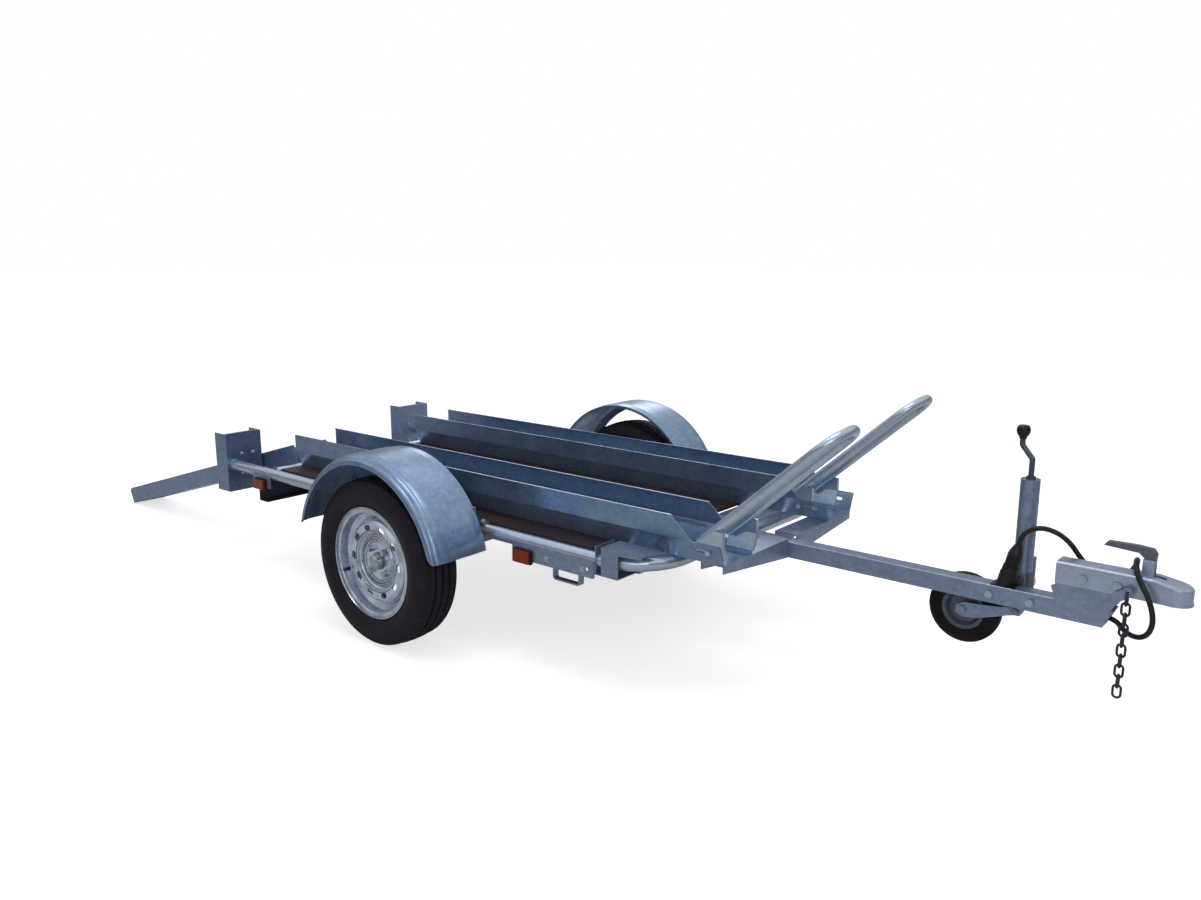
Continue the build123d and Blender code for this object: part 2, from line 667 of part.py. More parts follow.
guard_start = radians(GUARD_FRONT_ANGLE)
guard_plane = Plane(
    origin=(GUARD_X, 0, GUARD_Z), x_dir=(0, 1, 0), z_dir=(sin(guard_start), 0, -cos(guard_start))
)
for side, hand in SIDES:
    with BuildPart() as mudguard:
        with BuildSketch(guard_plane):
            with BuildLine():
                Line((side * GUARD_OUT_Y, GUARD_LIP_R), (side * GUARD_OUT_Y, GUARD_LIP_R + 7))
                ThreePointArc(
                    (side * GUARD_OUT_Y, GUARD_LIP_R + 7),
                    (side * (GUARD_OUT_Y - 3.2), GUARD_R - 15.4),
                    (side * (GUARD_OUT_Y - 11), GUARD_R - 12.5),
                )
                ThreePointArc(
                    (side * (GUARD_OUT_Y - 11), GUARD_R - 12.5),
                    (side * (GUARD_OUT_Y - 18.7), GUARD_R - 5.3),
                    (side * (GUARD_OUT_Y - 29), GUARD_R - 3.5),
                )
                ThreePointArc(
                    (side * (GUARD_OUT_Y - 29), GUARD_R - 3.5),
                    (side * (GUARD_OUT_Y - 37.3), GUARD_R - 0.8),
                    (side * shoulder_y, GUARD_R),
                )
                Polyline(
                    (side * shoulder_y, GUARD_R),
                    (side * (GUARD_IN_Y + 30), GUARD_R),
                    (side * GUARD_IN_Y, GUARD_R - 3),
                    (side * GUARD_IN_Y, GUARD_R - 12),
                )
                offset(amount=GUARD_T, side=Side.LEFT if side < 0 else Side.RIGHT)
            make_face()
        revolve(
            axis=Axis((GUARD_X, 0, GUARD_Z), (0, -1, 0)),
            revolution_arc=GUARD_REAR_ANGLE - GUARD_FRONT_ANGLE,
        )
        with BuildSketch(side_plane(side * (GUARD_OUT_Y - 25))):
            for end, back in ((GUARD_FRONT_ANGLE, 1), (GUARD_REAR_ANGLE, -1)):
                with BuildLine():
                    ThreePointArc(
                        guard_point(GUARD_LIP_R, end + back * GUARD_CORNER_SWEEP),
                        guard_point(GUARD_LIP_R + 4, end + back * GUARD_CORNER_SWEEP * 0.3),
                        guard_point(GUARD_LIP_R + 17, end),
                    )
                    Polyline(
                        guard_point(GUARD_LIP_R + 17, end),
                        guard_point(GUARD_LIP_R + 17, end - back * 3),
                        guard_point(GUARD_LIP_R - 8, end - back * 3),
                        guard_point(GUARD_LIP_R - 8, end + back * GUARD_CORNER_SWEEP),
                        guard_point(GUARD_LIP_R, end + back * GUARD_CORNER_SWEEP),
                    )
                make_face()
        extrude(amount=-side * 30, mode=Mode.SUBTRACT)
    mudguard.part.label = f"mudguard_{hand}"
    export_step(mudguard.part, f"parts/mudguard_{hand}.step")

# Mudguard brackets: bent flats from the side tube's top out to the guard's inner edge
bracket_xs = (from_axle(288), from_axle(-262))
with BuildPart() as mudguard_brackets:
    for side, hand in SIDES:
        for bracket_x in bracket_xs:
            with BuildSketch(Plane.YZ.offset(bracket_x - GUARD_BRACKET_W / 2)):
                with BuildLine():
                    Polyline(
                        (side * (TUBE_Y - 14), DECK_TOP),
                        (side * (TUBE_Y + 8), DECK_TOP),
                        (side * (GUARD_IN_Y - GUARD_T), DECK_TOP + 22),
                        (side * (GUARD_IN_Y - GUARD_T), DECK_TOP + 62),
                    )
                    offset(amount=GUARD_BRACKET_T, side=Side.LEFT if side > 0 else Side.RIGHT)
                make_face()
            extrude(amount=GUARD_BRACKET_W)
mudguard_brackets.part.label = "mudguard_brackets"
export_step(mudguard_brackets.part, "parts/mudguard_brackets.step")

# Axle beam: square tube with a saddle plate under each side tube
with BuildPart() as axle_beam:
    with BuildSketch(side_plane(0)):
        with Locations((ARM_PIVOT_X, ARM_PIVOT_Z)):
            RectangleRounded(BEAM_SIDE, BEAM_SIDE, 4)
            Rectangle(BEAM_SIDE - 2 * BEAM_WALL, BEAM_SIDE - 2 * BEAM_WALL, mode=Mode.SUBTRACT)
    extrude(amount=ARM_Y - 2, both=True)
    for side, hand in SIDES:
        with BuildSketch(side_plane(side * (ARM_Y - 2))):
            with Locations((ARM_PIVOT_X, ARM_PIVOT_Z)):
                Rectangle(BEAM_SIDE - BEAM_WALL, BEAM_SIDE - BEAM_WALL)
                Circle(JOURNAL_R + RUNNING, mode=Mode.SUBTRACT)
        extrude(amount=side * BUSH_L)
    saddle_low = ARM_PIVOT_Z + BEAM_SIDE / 2
    saddle_h = TUBE_Z - TUBE_D / 2 - saddle_low
    with Locations([(ARM_PIVOT_X, side * TUBE_Y, saddle_low) for side, hand in SIDES]):
        Box(SADDLE_L, TUBE_D, saddle_h, align=(Align.CENTER, Align.CENTER, Align.MIN))
axle_beam.part.label = "axle_beam"
export_step(axle_beam.part, "parts/axle_beam.step")

# Suspension arms: a forged lever with its bar inside the beam and the stub axle at the other end
arm_run = hypot(ARM_PIVOT_X - AXLE_X, ARM_PIVOT_Z - TYRE_R)
arm_tilt = degrees(atan2(ARM_PIVOT_Z - TYRE_R, ARM_PIVOT_X - AXLE_X))
hub_face_y = RIM_FACE_Y - DISC_SEAT
stub_end_y = hub_face_y + 4
for side, hand in SIDES:
    with BuildPart() as suspension_arm:
        with BuildSketch(side_plane(side * (ARM_Y + ARM_T / 2))):
            with Locations(((ARM_PIVOT_X + AXLE_X) / 2, (ARM_PIVOT_Z + TYRE_R) / 2)):
                SlotCenterToCenter(arm_run, 58, rotation=arm_tilt)
        extrude(amount=ARM_T / 2, both=True)
        with BuildSketch(side_plane(side * ARM_Y)):
            with Locations((ARM_PIVOT_X, ARM_PIVOT_Z)):
                Circle(JOURNAL_R)
        extrude(amount=side * (BUSH_L + 6))
        with BuildSketch(side_plane(side * (ARM_Y - BUSH_L - 6))):
            with Locations((ARM_PIVOT_X, ARM_PIVOT_Z)):
                Rectangle(ARM_BAR_SIDE, ARM_BAR_SIDE, rotation=45)
        extrude(amount=side * ARM_BAR_L)
        with BuildSketch(side_plane(side * (ARM_Y + ARM_T))):
            with Locations((AXLE_X, TYRE_R)):
                Circle(STUB_R)
        extrude(amount=-side * (stub_end_y - ARM_Y - ARM_T))
    suspension_arm.part.label = f"suspension_arm_{hand}"
    export_step(suspension_arm.part, f"parts/suspension_arm_{hand}.step")


def turn_profile(side, points):
    """A closed profile on the wheel's radial plane, from (inboard distance from the rim face, radius)."""
    return [(side * (RIM_FACE_Y - inboard), radius) for inboard, radius in points]


wheel_axis = Axis((AXLE_X, 0, TYRE_R), (0, 1, 0))
wheel_plane = Plane(origin=(AXLE_X, 0, TYRE_R), x_dir=(0, 1, 0), z_dir=(1, 0, 0))
tyre_mid = RIM_W / 2
crown = TYRE_R - 1.5


def across(offset_y, radius):
    """A point of the section of the tyre in hand, this far across from its middle."""
    return side * WHEEL_Y + offset_y, radius


for side, hand in SIDES:
    # Tyre: carcass with its rounded sidewalls and three grooves round the tread
    with BuildPart() as tyre:
        with BuildSketch(wheel_plane):
            with BuildLine():
                Line(across(-56, BEAD_R + 2), across(-57, FLANGE_R - 2))
                ThreePointArc(
                    across(-57, FLANGE_R - 2), across(-TYRE_HALF_W, (BEAD_R + TYRE_R) / 2), across(-67, TYRE_R - 16)
                )
                ThreePointArc(across(-67, TYRE_R - 16), across(-63, TYRE_R - 8), across(-54, TYRE_R - 4))
                Polyline(
                    across(-54, TYRE_R - 4), across(-31, crown), across(-30, crown - 7), across(-24, crown - 7),
                    across(-23, crown + 0.8), across(-4, TYRE_R), across(-3, crown - 7), across(3, crown - 7),
                    across(4, TYRE_R), across(23, crown + 0.8), across(24, crown - 7), across(30, crown - 7),
                    across(31, crown), across(54, TYRE_R - 4),
                )
                ThreePointArc(across(54, TYRE_R - 4), across(63, TYRE_R - 8), across(67, TYRE_R - 16))
                ThreePointArc(
                    across(67, TYRE_R - 16), across(TYRE_HALF_W, (BEAD_R + TYRE_R) / 2), across(57, FLANGE_R - 2)
                )
                Polyline(
                    across(57, FLANGE_R - 2), across(56, BEAD_R + 2), across(42, BEAD_R + 2),
                    across(50, FLANGE_R + 6),
                )
                ThreePointArc(
                    across(50, FLANGE_R + 6),
                    across(TYRE_HALF_W - TYRE_WALL, (BEAD_R + TYRE_R) / 2 + 4),
                    across(54, TYRE_R - 20),
                )
                Polyline(across(54, TYRE_R - 20), across(0, TYRE_R - 17), across(-54, TYRE_R - 20))
                ThreePointArc(
                    across(-54, TYRE_R - 20),
                    across(-TYRE_HALF_W + TYRE_WALL, (BEAD_R + TYRE_R) / 2 + 4),
                    across(-50, FLANGE_R + 6),
                )
                Polyline(across(-50, FLANGE_R + 6), across(-42, BEAD_R + 2), across(-56, BEAD_R + 2))
            make_face()
        revolve(axis=wheel_axis)
    tyre.part.label = f"tyre_{hand}"
    export_step(tyre.part, f"parts/tyre_{hand}.step")

    # Rim: rolled barrel with a dropped centre, and a pressed disc with vents
    with BuildPart() as rim:
        with BuildSketch(wheel_plane):
            with BuildLine():
                Polyline(turn_profile(side, (
                    (0, FLANGE_R - 5), (2, FLANGE_R), (7, FLANGE_R), (9.5, FLANGE_R - 6), (9.5, BEAD_R + 1.5),
                    (38, BEAD_R - 1), (50, BEAD_R - 22), (82, BEAD_R - 22), (95, BEAD_R - 1),
                    (RIM_W - 9.5, BEAD_R + 1.5), (RIM_W - 9.5, FLANGE_R - 6), (RIM_W - 7, FLANGE_R),
                    (RIM_W - 2, FLANGE_R), (RIM_W, FLANGE_R - 5),
                )))
                offset(amount=RIM_T, side=Side.RIGHT if side < 0 else Side.LEFT)
            make_face()
        revolve(axis=wheel_axis)
        with BuildSketch(wheel_plane):
            with BuildLine():
                disc_edge = BEAD_R - 22 - RIM_T
                Polyline(turn_profile(side, (
                    (66, disc_edge + 1), (44, disc_edge + 1), (30, disc_edge - 6), (23, disc_edge - 16),
                    (25, 102), (34, 90), (31, 76), (38, 66), (38, PILOT_R + FIT), (42, PILOT_R + FIT),
                    (42, 68), (35, 79), (38, 92), (29, 104), (27, disc_edge - 18), (33, disc_edge - 10),
                    (47, disc_edge - 4), (66, disc_edge - 4),
                )), close=True)
            make_face()
        revolve(axis=wheel_axis)
        with BuildSketch(side_plane(side * RIM_FACE_Y)):
            with Locations((AXLE_X, TYRE_R)):
                with PolarLocations(VENT_PITCH_R, VENT_COUNT):
                    SlotOverall(30, 18, rotation=90)
                with PolarLocations(BOLT_PCD / 2, BOLT_COUNT, start_angle=45):
                    Circle(WHEEL_BOLT_D / 2 + FIT)
        extrude(amount=side * (DISC_SEAT + 4), mode=Mode.SUBTRACT)
    rim.part.label = f"rim_{hand}"
    export_step(rim.part, f"parts/rim_{hand}.step")

    # Hub, with its bearing and the dust cap
    with BuildPart() as hub:
        with BuildSketch(wheel_plane):
            with BuildLine():
                Polyline(turn_profile(side, (
                    (DISC_SEAT - 8, BEARING_R - 6), (DISC_SEAT - 8, PILOT_R), (DISC_SEAT, PILOT_R),
                    (DISC_SEAT, HUB_FLANGE_R), (DISC_SEAT + HUB_FLANGE_T, HUB_FLANGE_R),
                    (DISC_SEAT + HUB_FLANGE_T + 6, HUB_BODY_R + 4), (DISC_SEAT + 50, HUB_BODY_R),
                    (DISC_SEAT + 50, BEARING_R), (DISC_SEAT + 50 - BEARING_L, BEARING_R),
                    (DISC_SEAT + 50 - BEARING_L, BEARING_R - 6),
                )), close=True)
            make_face()
        revolve(axis=wheel_axis)
        with BuildSketch(side_plane(side * hub_face_y)):
            with Locations((AXLE_X, TYRE_R)):
                with PolarLocations(BOLT_PCD / 2, BOLT_COUNT, start_angle=45):
                    Circle(WHEEL_BOLT_D / 2 + FIT)
        extrude(amount=side * (HUB_FLANGE_T + 8), mode=Mode.SUBTRACT)
    hub.part.label = f"hub_{hand}"
    export_step(hub.part, f"parts/hub_{hand}.step")

    with BuildPart() as wheel_bearing:
        with BuildSketch(wheel_plane):
            with BuildLine():
                Polyline(turn_profile(side, (
                    (DISC_SEAT + 50 - BEARING_L, STUB_R + RUNNING), (DISC_SEAT + 50 - BEARING_L, BEARING_R),
                    (DISC_SEAT + 50, BEARING_R), (DISC_SEAT + 50, STUB_R + RUNNING),
                )), close=True)
            make_face()
        revolve(axis=wheel_axis)
    wheel_bearing.part.label = f"wheel_bearing_{hand}"
    export_step(wheel_bearing.part, f"parts/wheel_bearing_{hand}.step")

    with BuildPart() as dust_cap:
        with BuildSketch(wheel_plane):
            with BuildLine():
                cap_seat = DISC_SEAT - 8
                Polyline(turn_profile(side, (
                    (cap_seat, CAP_R - 3), (cap_seat, CAP_R), (cap_seat - 3, CAP_R), (cap_seat - 3, CAP_R - 1.5),
                    (cap_seat - CAP_L + 5, CAP_R - 2.5), (cap_seat - CAP_L, CAP_R - 9), (cap_seat - CAP_L, 0),
                    (cap_seat - CAP_L + 2, 0), (cap_seat - CAP_L + 2, CAP_R - 10), (cap_seat - CAP_L + 6, CAP_R - 4.5),
                )), close=True)
            make_face()
        revolve(axis=wheel_axis)
    dust_cap.part.label = f"dust_cap_{hand}"
    export_step(dust_cap.part, f"parts/dust_cap_{hand}.step")

    # Wheel bolts
    with BuildPart() as wheel_bolts:
        with BuildSketch(side_plane(side * (RIM_FACE_Y - DISC_SEAT + DISC_T + 16))):
            with Locations((AXLE_X, TYRE_R)):
                with PolarLocations(BOLT_PCD / 2, BOLT_COUNT, start_angle=45):
                    RegularPolygon(9.5, 6, major_radius=False)
        extrude(amount=side * 11)
        with BuildSketch(side_plane(side * (RIM_FACE_Y - DISC_SEAT + DISC_T + 5))):
            with Locations((AXLE_X, TYRE_R)):
                with PolarLocations(BOLT_PCD / 2, BOLT_COUNT, start_angle=45):
                    Circle(11)
        extrude(amount=side * 5)
        with BuildSketch(side_plane(side * (RIM_FACE_Y - DISC_SEAT + DISC_T))):
            with Locations((AXLE_X, TYRE_R)):
                with PolarLocations(BOLT_PCD / 2, BOLT_COUNT, start_angle=45):
                    Circle(WHEEL_BOLT_D / 2)
        extrude(amount=side * (DISC_T + HUB_FLANGE_T + 4))
    wheel_bolts.part.label = f"wheel_bolts_{hand}"
    export_step(wheel_bolts.part, f"parts/wheel_bolts_{hand}.step")

# Front-wheel hoops: a bent tube welded between two cheeks that bolt inside the rail
hoop_rise = radians(HOOP_ANGLE)
hoop_top_x = HOOP_LEG_L * cos(hoop_rise)
hoop_top_z = HOOP_LEG_L * sin(hoop_rise)
wall_lean = (RAIL_HALF - RAIL_FLOOR_HALF) / (RAIL_CREASE_Z - DECK_TOP)
cheek_out = RAIL_HALF - RAIL_T - 2 * FIT
cheek_low_out = cheek_out - wall_lean * (RAIL_CREASE_Z - CHEEK_LOW_Z)
for side, hand in SIDES:
    setback = HOOP_SETBACK if hand == "left" else 0.0
    rail_y = side * RAIL_Y
    cheek_rear = CHEEK_REAR - setback
    foot_x = HOOP_FOOT_X - setback
    with BuildPart() as wheel_hoop:
        for leg in (-1, 1):
            with BuildSketch(Plane.YZ.offset(cheek_rear)):
                with BuildLine():
                    Polyline(
                        (rail_y + leg * cheek_low_out, CHEEK_LOW_Z),
                        (rail_y + leg * cheek_out, RAIL_CREASE_Z),
                        (rail_y + leg * cheek_out, CHEEK_TOP_Z),
                        (rail_y + leg * (cheek_out - CHEEK_T), CHEEK_TOP_Z),
                        (rail_y + leg * (cheek_out - CHEEK_T), RAIL_CREASE_Z),
                        (rail_y + leg * (cheek_low_out - CHEEK_T), CHEEK_LOW_Z),
                        close=True,
                    )
                make_face()
            extrude(amount=CHEEK_L)
            with BuildSketch(Plane.YZ.offset(cheek_rear + CHEEK_L)):
                with BuildLine():
                    Polyline(
                        (rail_y + leg * cheek_low_out, CHEEK_LOW_Z),
                        (rail_y + leg * cheek_out, RAIL_CREASE_Z),
                        (rail_y + leg * cheek_out, CHEEK_TOP_Z),
                        (rail_y + leg * (cheek_out - CHEEK_FLANGE), CHEEK_TOP_Z),
                        (rail_y + leg * (cheek_out - CHEEK_FLANGE), RAIL_CREASE_Z),
                        (rail_y + leg * (cheek_low_out - CHEEK_FLANGE), CHEEK_LOW_Z),
                        close=True,
                    )
                make_face()
            extrude(amount=-CHEEK_T)
        with BuildSketch(side_plane(rail_y)):
            with BuildLine():
                Polyline(
                    (cheek_rear - 1, CHEEK_TOP_Z + 1),
                    (cheek_rear - 1, RAIL_CREASE_Z - 6),
                    (cheek_rear + CHEEK_L * 0.7, CHEEK_TOP_Z + 1),
                    close=True,
                )
            make_face()
        extrude(amount=RAIL_HALF, both=True, mode=Mode.SUBTRACT)
        with BuildLine():
            leg_start = Vector(foot_x, rail_y - HOOP_LEG_Y, HOOP_FOOT_Z)
            leg_end = Vector(foot_x + hoop_top_x, rail_y - HOOP_LEG_Y, HOOP_FOOT_Z + hoop_top_z)
            bend_top = Vector(
                foot_x + hoop_top_x + HOOP_LEG_Y * cos(hoop_rise), rail_y,
                HOOP_FOOT_Z + hoop_top_z + HOOP_LEG_Y * sin(hoop_rise),
            )
            far_end = Vector(leg_end.X, rail_y + HOOP_LEG_Y, leg_end.Z)
            far_foot = Vector(foot_x, rail_y + HOOP_LEG_Y, HOOP_FOOT_Z)
            Line(leg_start, leg_end)
            ThreePointArc(leg_end, bend_top, far_end)
            Line(far_end, far_foot)
        with BuildSketch(Plane(origin=leg_start, x_dir=(0, 1, 0), z_dir=(cos(hoop_rise), 0, sin(hoop_rise)))):
            Circle(HOOP_D / 2)
        sweep()
        bolt_x = slot_front - setback
        for leg in (-1, 1):
            bolt_y = rail_y + leg * (cheek_out - wall_lean * (RAIL_CREASE_Z - SLOT_Z))
            with BuildSketch(side_plane(bolt_y)):
                with Locations((bolt_x, SLOT_Z)):
                    Circle(HOOP_BOLT_D / 2)
            extrude(amount=-leg * 12)
            with BuildSketch(side_plane(bolt_y + leg * 6.5)):
                with Locations((bolt_x, SLOT_Z)):
                    RegularPolygon(7.5, 6, major_radius=False)
            extrude(amount=-leg * 5.5)
    wheel_hoop.part.label = f"wheel_hoop_{hand}"
    export_step(wheel_hoop.part, f"parts/wheel_hoop_{hand}.step")

# Ramp: an inclined channel with rungs, hooked over the rear cross tube
ramp_pivot = (REAR_TUBE_X, TUBE_Z)
ramp_floor_gap = TUBE_D / 2 + FIT
ramp_reach = REAR_TUBE_X - RAMP_TAIL
ramp_tilt = atan2(TUBE_Z, ramp_reach)
for refinement in range(4):
    ramp_tilt = atan2(TUBE_Z + ramp_floor_gap / cos(ramp_tilt), ramp_reach)
ramp_dir = (-cos(ramp_tilt), -sin(ramp_tilt))
ramp_up = (-sin(ramp_tilt), cos(ramp_tilt))


def on_ramp(along, above):
    """A point of the ramp's side view, from the rear cross tube's axis: down the slope, then square to it."""
    return (
        REAR_TUBE_X + ramp_dir[0] * along + ramp_up[0] * above,
        TUBE_Z + ramp_dir[1] * along + ramp_up[1] * above,
    )


ramp_plane = Plane(
    origin=(REAR_TUBE_X, RAMP_Y, TUBE_Z), x_dir=(0, 1, 0), z_dir=(ramp_dir[0], 0, ramp_dir[1])
)
tail_along = (TUBE_Z + ramp_floor_gap * cos(ramp_tilt)) / sin(ramp_tilt)
with BuildPart() as ramp:
    with BuildSketch(side_plane(RAMP_Y)):
        with BuildLine():
            Polyline(
                on_ramp(6, ramp_floor_gap), on_ramp(tail_along, ramp_floor_gap),
                on_ramp(tail_along + 8, ramp_floor_gap + RAMP_FLANGE * 0.85),
                on_ramp(tail_along - 6, ramp_floor_gap + RAMP_FLANGE), on_ramp(12, ramp_floor_gap + RAMP_FLANGE),
                on_ramp(6, ramp_floor_gap + RAMP_FLANGE - 8),
                close=True,
            )
        make_face()
    extrude(amount=RAMP_HALF, both=True)
    with BuildSketch(side_plane(RAMP_Y)):
        with BuildLine():
            Polyline(
                on_ramp(0, ramp_floor_gap + RAMP_T), on_ramp(tail_along + 20, ramp_floor_gap + RAMP_T),
                on_ramp(tail_along + 20, ramp_floor_gap + RAMP_FLANGE + 1), on_ramp(0, ramp_floor_gap + RAMP_FLANGE + 1),
                close=True,
            )
        make_face()
    extrude(amount=RAMP_HALF - RAMP_T, both=True, mode=Mode.SUBTRACT)
    with BuildSketch(side_plane(RAMP_Y)):
        with BuildLine():
            hook_in = Line(on_ramp(6, ramp_floor_gap), on_ramp(0, ramp_floor_gap))
            hook_turn = CenterArc(
                ramp_pivot, ramp_floor_gap, degrees(ramp_tilt) + 90, -115
            )
            offset(amount=HOOK_T, side=Side.LEFT)
        make_face()
    extrude(amount=RAMP_HALF * 0.8, both=True)
ramp.part.label = "ramp"
export_step(ramp.part, "parts/ramp.step")

# Coupling bracket: a folded saddle on the drawbar with an eye for the chain
bracket_half = BAR_SIDE / 2 + FIT + BRACKET_T
bracket_front_low = BRACKET_FRONT - BAR_END_SLANT * (HEAD_LOW - BRACKET_WING_LOW)
with BuildPart() as coupling_bracket:
    with BuildSketch(side_plane(0)):
        with BuildLine():
            Polyline(
                (BRACKET_REAR, HEAD_LOW - 9),
                (BRACKET_REAR + 16, HEAD_LOW),
                (BRACKET_FRONT, HEAD_LOW),
                (bracket_front_low, BRACKET_WING_LOW),
                (BRACKET_REAR + 18, BRACKET_WING_LOW),
                close=True,
            )
        make_face()
    extrude(amount=bracket_half, both=True)
    with BuildSketch(Plane.YZ.offset(BRACKET_REAR - 1)):
        with Locations((0, BAR_TOP + FIT)):
            Rectangle(BAR_SIDE + 2 * FIT, BAR_SIDE, align=(Align.CENTER, Align.MAX))
        with Locations((0, BAR_TOP + FIT + BRACKET_T)):
            Rectangle(
                BAR_SIDE + 2 * FIT, HEAD_LOW - BAR_TOP - FIT - 2 * BRACKET_T, align=(Align.CENTER, Align.MIN)
            )
    extrude(amount=BRACKET_FRONT - BRACKET_REAR + 2, mode=Mode.SUBTRACT)
    with BuildSketch(side_plane(CHAIN_Y)):
        with Locations((CHAIN_X, CHAIN_TOP)):
            Circle(12)
        with Locations((CHAIN_X - 24, HEAD_LOW - 1)):
            Rectangle(18, 16)
        make_hull()
        with Locations((CHAIN_X, CHAIN_TOP)):
            Circle(LINK_WIRE / 2 + 0.6, mode=Mode.SUBTRACT)
    extrude(amount=2.5, both=True)
    with BuildSketch(side_plane(-bracket_half + 1)):
        with Locations((CHAIN_X - 25, HEAD_LOW - 10)):
            Rectangle(14, 14)
    extrude(amount=-CHAIN_Y - bracket_half + 1)
coupling_bracket.part.label = "coupling_bracket"
export_step(coupling_bracket.part, "parts/coupling_bracket.step")

# Coupling housing: a pressed channel that runs into the ball cup, with a rolled lip round the bottom
with BuildPart() as coupling_housing:
    with BuildSketch(Plane.XY.offset(HEAD_LOW)):
        with Locations((BALL_X, 0)):
            Circle(CUP_R)
        with Locations((BRACKET_FRONT, 0)):
            Rectangle(10, 2 * HEAD_HALF, align=(Align.MIN, Align.CENTER))
        make_hull()
        with Locations((HEAD_REAR_LOW, 0)):
            Rectangle(BRACKET_FRONT + 1 - HEAD_REAR_LOW, 2 * HEAD_HALF, align=(Align.MIN, Align.CENTER))
    extrude(amount=HEAD_TOP - HEAD_LOW)
    with BuildSketch(side_plane(0)):
        with BuildLine():
            Polyline(
                (PIVOT_X + 20, HEAD_TOP), (BALL_X + CUP_R + 1, NOSE_TOP), (BALL_X + CUP_R + 1, HEAD_TOP + 1),
                (PIVOT_X + 20, HEAD_TOP + 1), close=True,
            )
            Polyline(
                (HEAD_REAR_LOW - 1, HEAD_LOW), (HEAD_REAR_TOP, HEAD_TOP), (HEAD_REAR_TOP, HEAD_TOP + 1),
                (HEAD_REAR_LOW - 1, HEAD_TOP + 1), close=True,
            )
        make_face()
    extrude(amount=CUP_R + 1, both=True, mode=Mode.SUBTRACT)
    top_edges = coupling_housing.part.edges().filter_by(GeomType.LINE).filter_by(
        lambda edge: edge.center().Z > NOSE_TOP - 1 and abs(edge.center().Y) > HEAD_HALF - 2
    )
    fillet(top_edges, 9)
    with BuildSketch(Plane.XY.offset(HEAD_LOW)):
        with Locations((BALL_X, 0)):
            Circle(CUP_R - HEAD_WALL)
        with Locations((BRACKET_FRONT, 0)):
            Rectangle(10, 2 * (HEAD_HALF - HEAD_WALL), align=(Align.MIN, Align.CENTER))
        make_hull()
        with Locations((HEAD_REAR_LOW - 1, 0)):
            Rectangle(
                BRACKET_FRONT + 2 - HEAD_REAR_LOW, 2 * (HEAD_HALF - HEAD_WALL), align=(Align.MIN, Align.CENTER)
            )
    extrude(amount=NOSE_TOP - HEAD_LOW - HEAD_WALL, mode=Mode.SUBTRACT)
    with BuildSketch(Plane.XY.offset(HEAD_LOW)):
        with Locations((BALL_X, 0)):
            Circle(CUP_R - HEAD_WALL + 0.5)
    extrude(amount=NOSE_TOP - HEAD_LOW - 2)
    with Locations((BALL_X, 0, BALL_Z)):
        Sphere(BALL_R, mode=Mode.SUBTRACT)
        Cylinder(BALL_R, 60, align=(Align.CENTER, Align.CENTER, Align.MAX), mode=Mode.SUBTRACT)
    with BuildSketch(Plane.XY.offset(HEAD_LOW)):
        with Locations((BALL_X, 0)):
            Circle(LIP_R)
            Circle(CUP_R - HEAD_WALL, mode=Mode.SUBTRACT)
    extrude(amount=LIP_T)
    with BuildSketch(side_plane(0)):
        with Locations((JAW_PIVOT_X, HEAD_LOW)):
            Rectangle(36, 62, align=(Align.CENTER, Align.MIN))
    extrude(amount=HANDLE_W / 2 + FIT, both=True, mode=Mode.SUBTRACT)
    with BuildSketch(Plane.XY.offset(HEAD_TOP - 1)):
        for ear in (-1, 1):
            with Locations((PIVOT_X, ear * (HANDLE_W / 2 + FIT + 2.5))):
                Rectangle(26, 5)
    extrude(amount=PIVOT_Z + 13 - HEAD_TOP)
    with BuildSketch(Plane.XY.offset(HEAD_TOP - HEAD_WALL - 6)):
        with Locations((PIVOT_X + 2, 0)):
            Rectangle(30, HANDLE_W + 2 * FIT)
    extrude(amount=12, mode=Mode.SUBTRACT)
    with BuildSketch(side_plane(0)):
        with Locations((PIVOT_X, PIVOT_Z)):
            Circle(PIVOT_R)
        with Locations((JAW_PIVOT_X, JAW_PIVOT_Z)):
            Circle(PIVOT_R)
    extrude(amount=HANDLE_W / 2 + 8, both=True)
    with BuildSketch(side_plane(0)):
        with Locations([(x, HEAD_BOLT_Z) for x in HEAD_BOLT_XS]):
            Circle(HEAD_BOLT_D / 2 + FIT)
    extrude(amount=HEAD_HALF + 1, both=True, mode=Mode.SUBTRACT)
coupling_housing.part.label = "coupling_housing"
export_step(coupling_housing.part, "parts/coupling_housing.step")

# Coupling handle: a forged lever between the housing's ears
with BuildPart() as coupling_handle:
    with BuildSketch(side_plane(0)):
        with BuildLine():
            Polyline(
                (HANDLE_TIP_X, HANDLE_TIP_Z - 6), (HANDLE_TIP_X + 8, HANDLE_TIP_Z + 5),
                (PIVOT_X - 30, PIVOT_Z + 41), (PIVOT_X + 6, PIVOT_Z + 38), (PIVOT_X + 15, PIVOT_Z + 26),
                (PIVOT_X + 12, PIVOT_Z - 4), (PIVOT_X + 6, PIVOT_Z - 12), (PIVOT_X - 6, PIVOT_Z - 12),
                (PIVOT_X - 12, PIVOT_Z - 4), (PIVOT_X - 12, PIVOT_Z + 14), (PIVOT_X - 24, PIVOT_Z + 24),
                (HANDLE_TIP_X + 30, HANDLE_TIP_Z - 8), close=True,
            )
        make_face()
        with Locations((PIVOT_X, PIVOT_Z)):
            Circle(PIVOT_R + RUNNING, mode=Mode.SUBTRACT)
    extrude(amount=HANDLE_W / 2, both=True)
    chamfer(coupling_handle.edges().filter_by(Axis.Y).sort_by(Axis.X)[0:2], 2)
coupling_handle.part.label = "coupling_handle"
export_step(coupling_handle.part, "parts/coupling_handle.step")

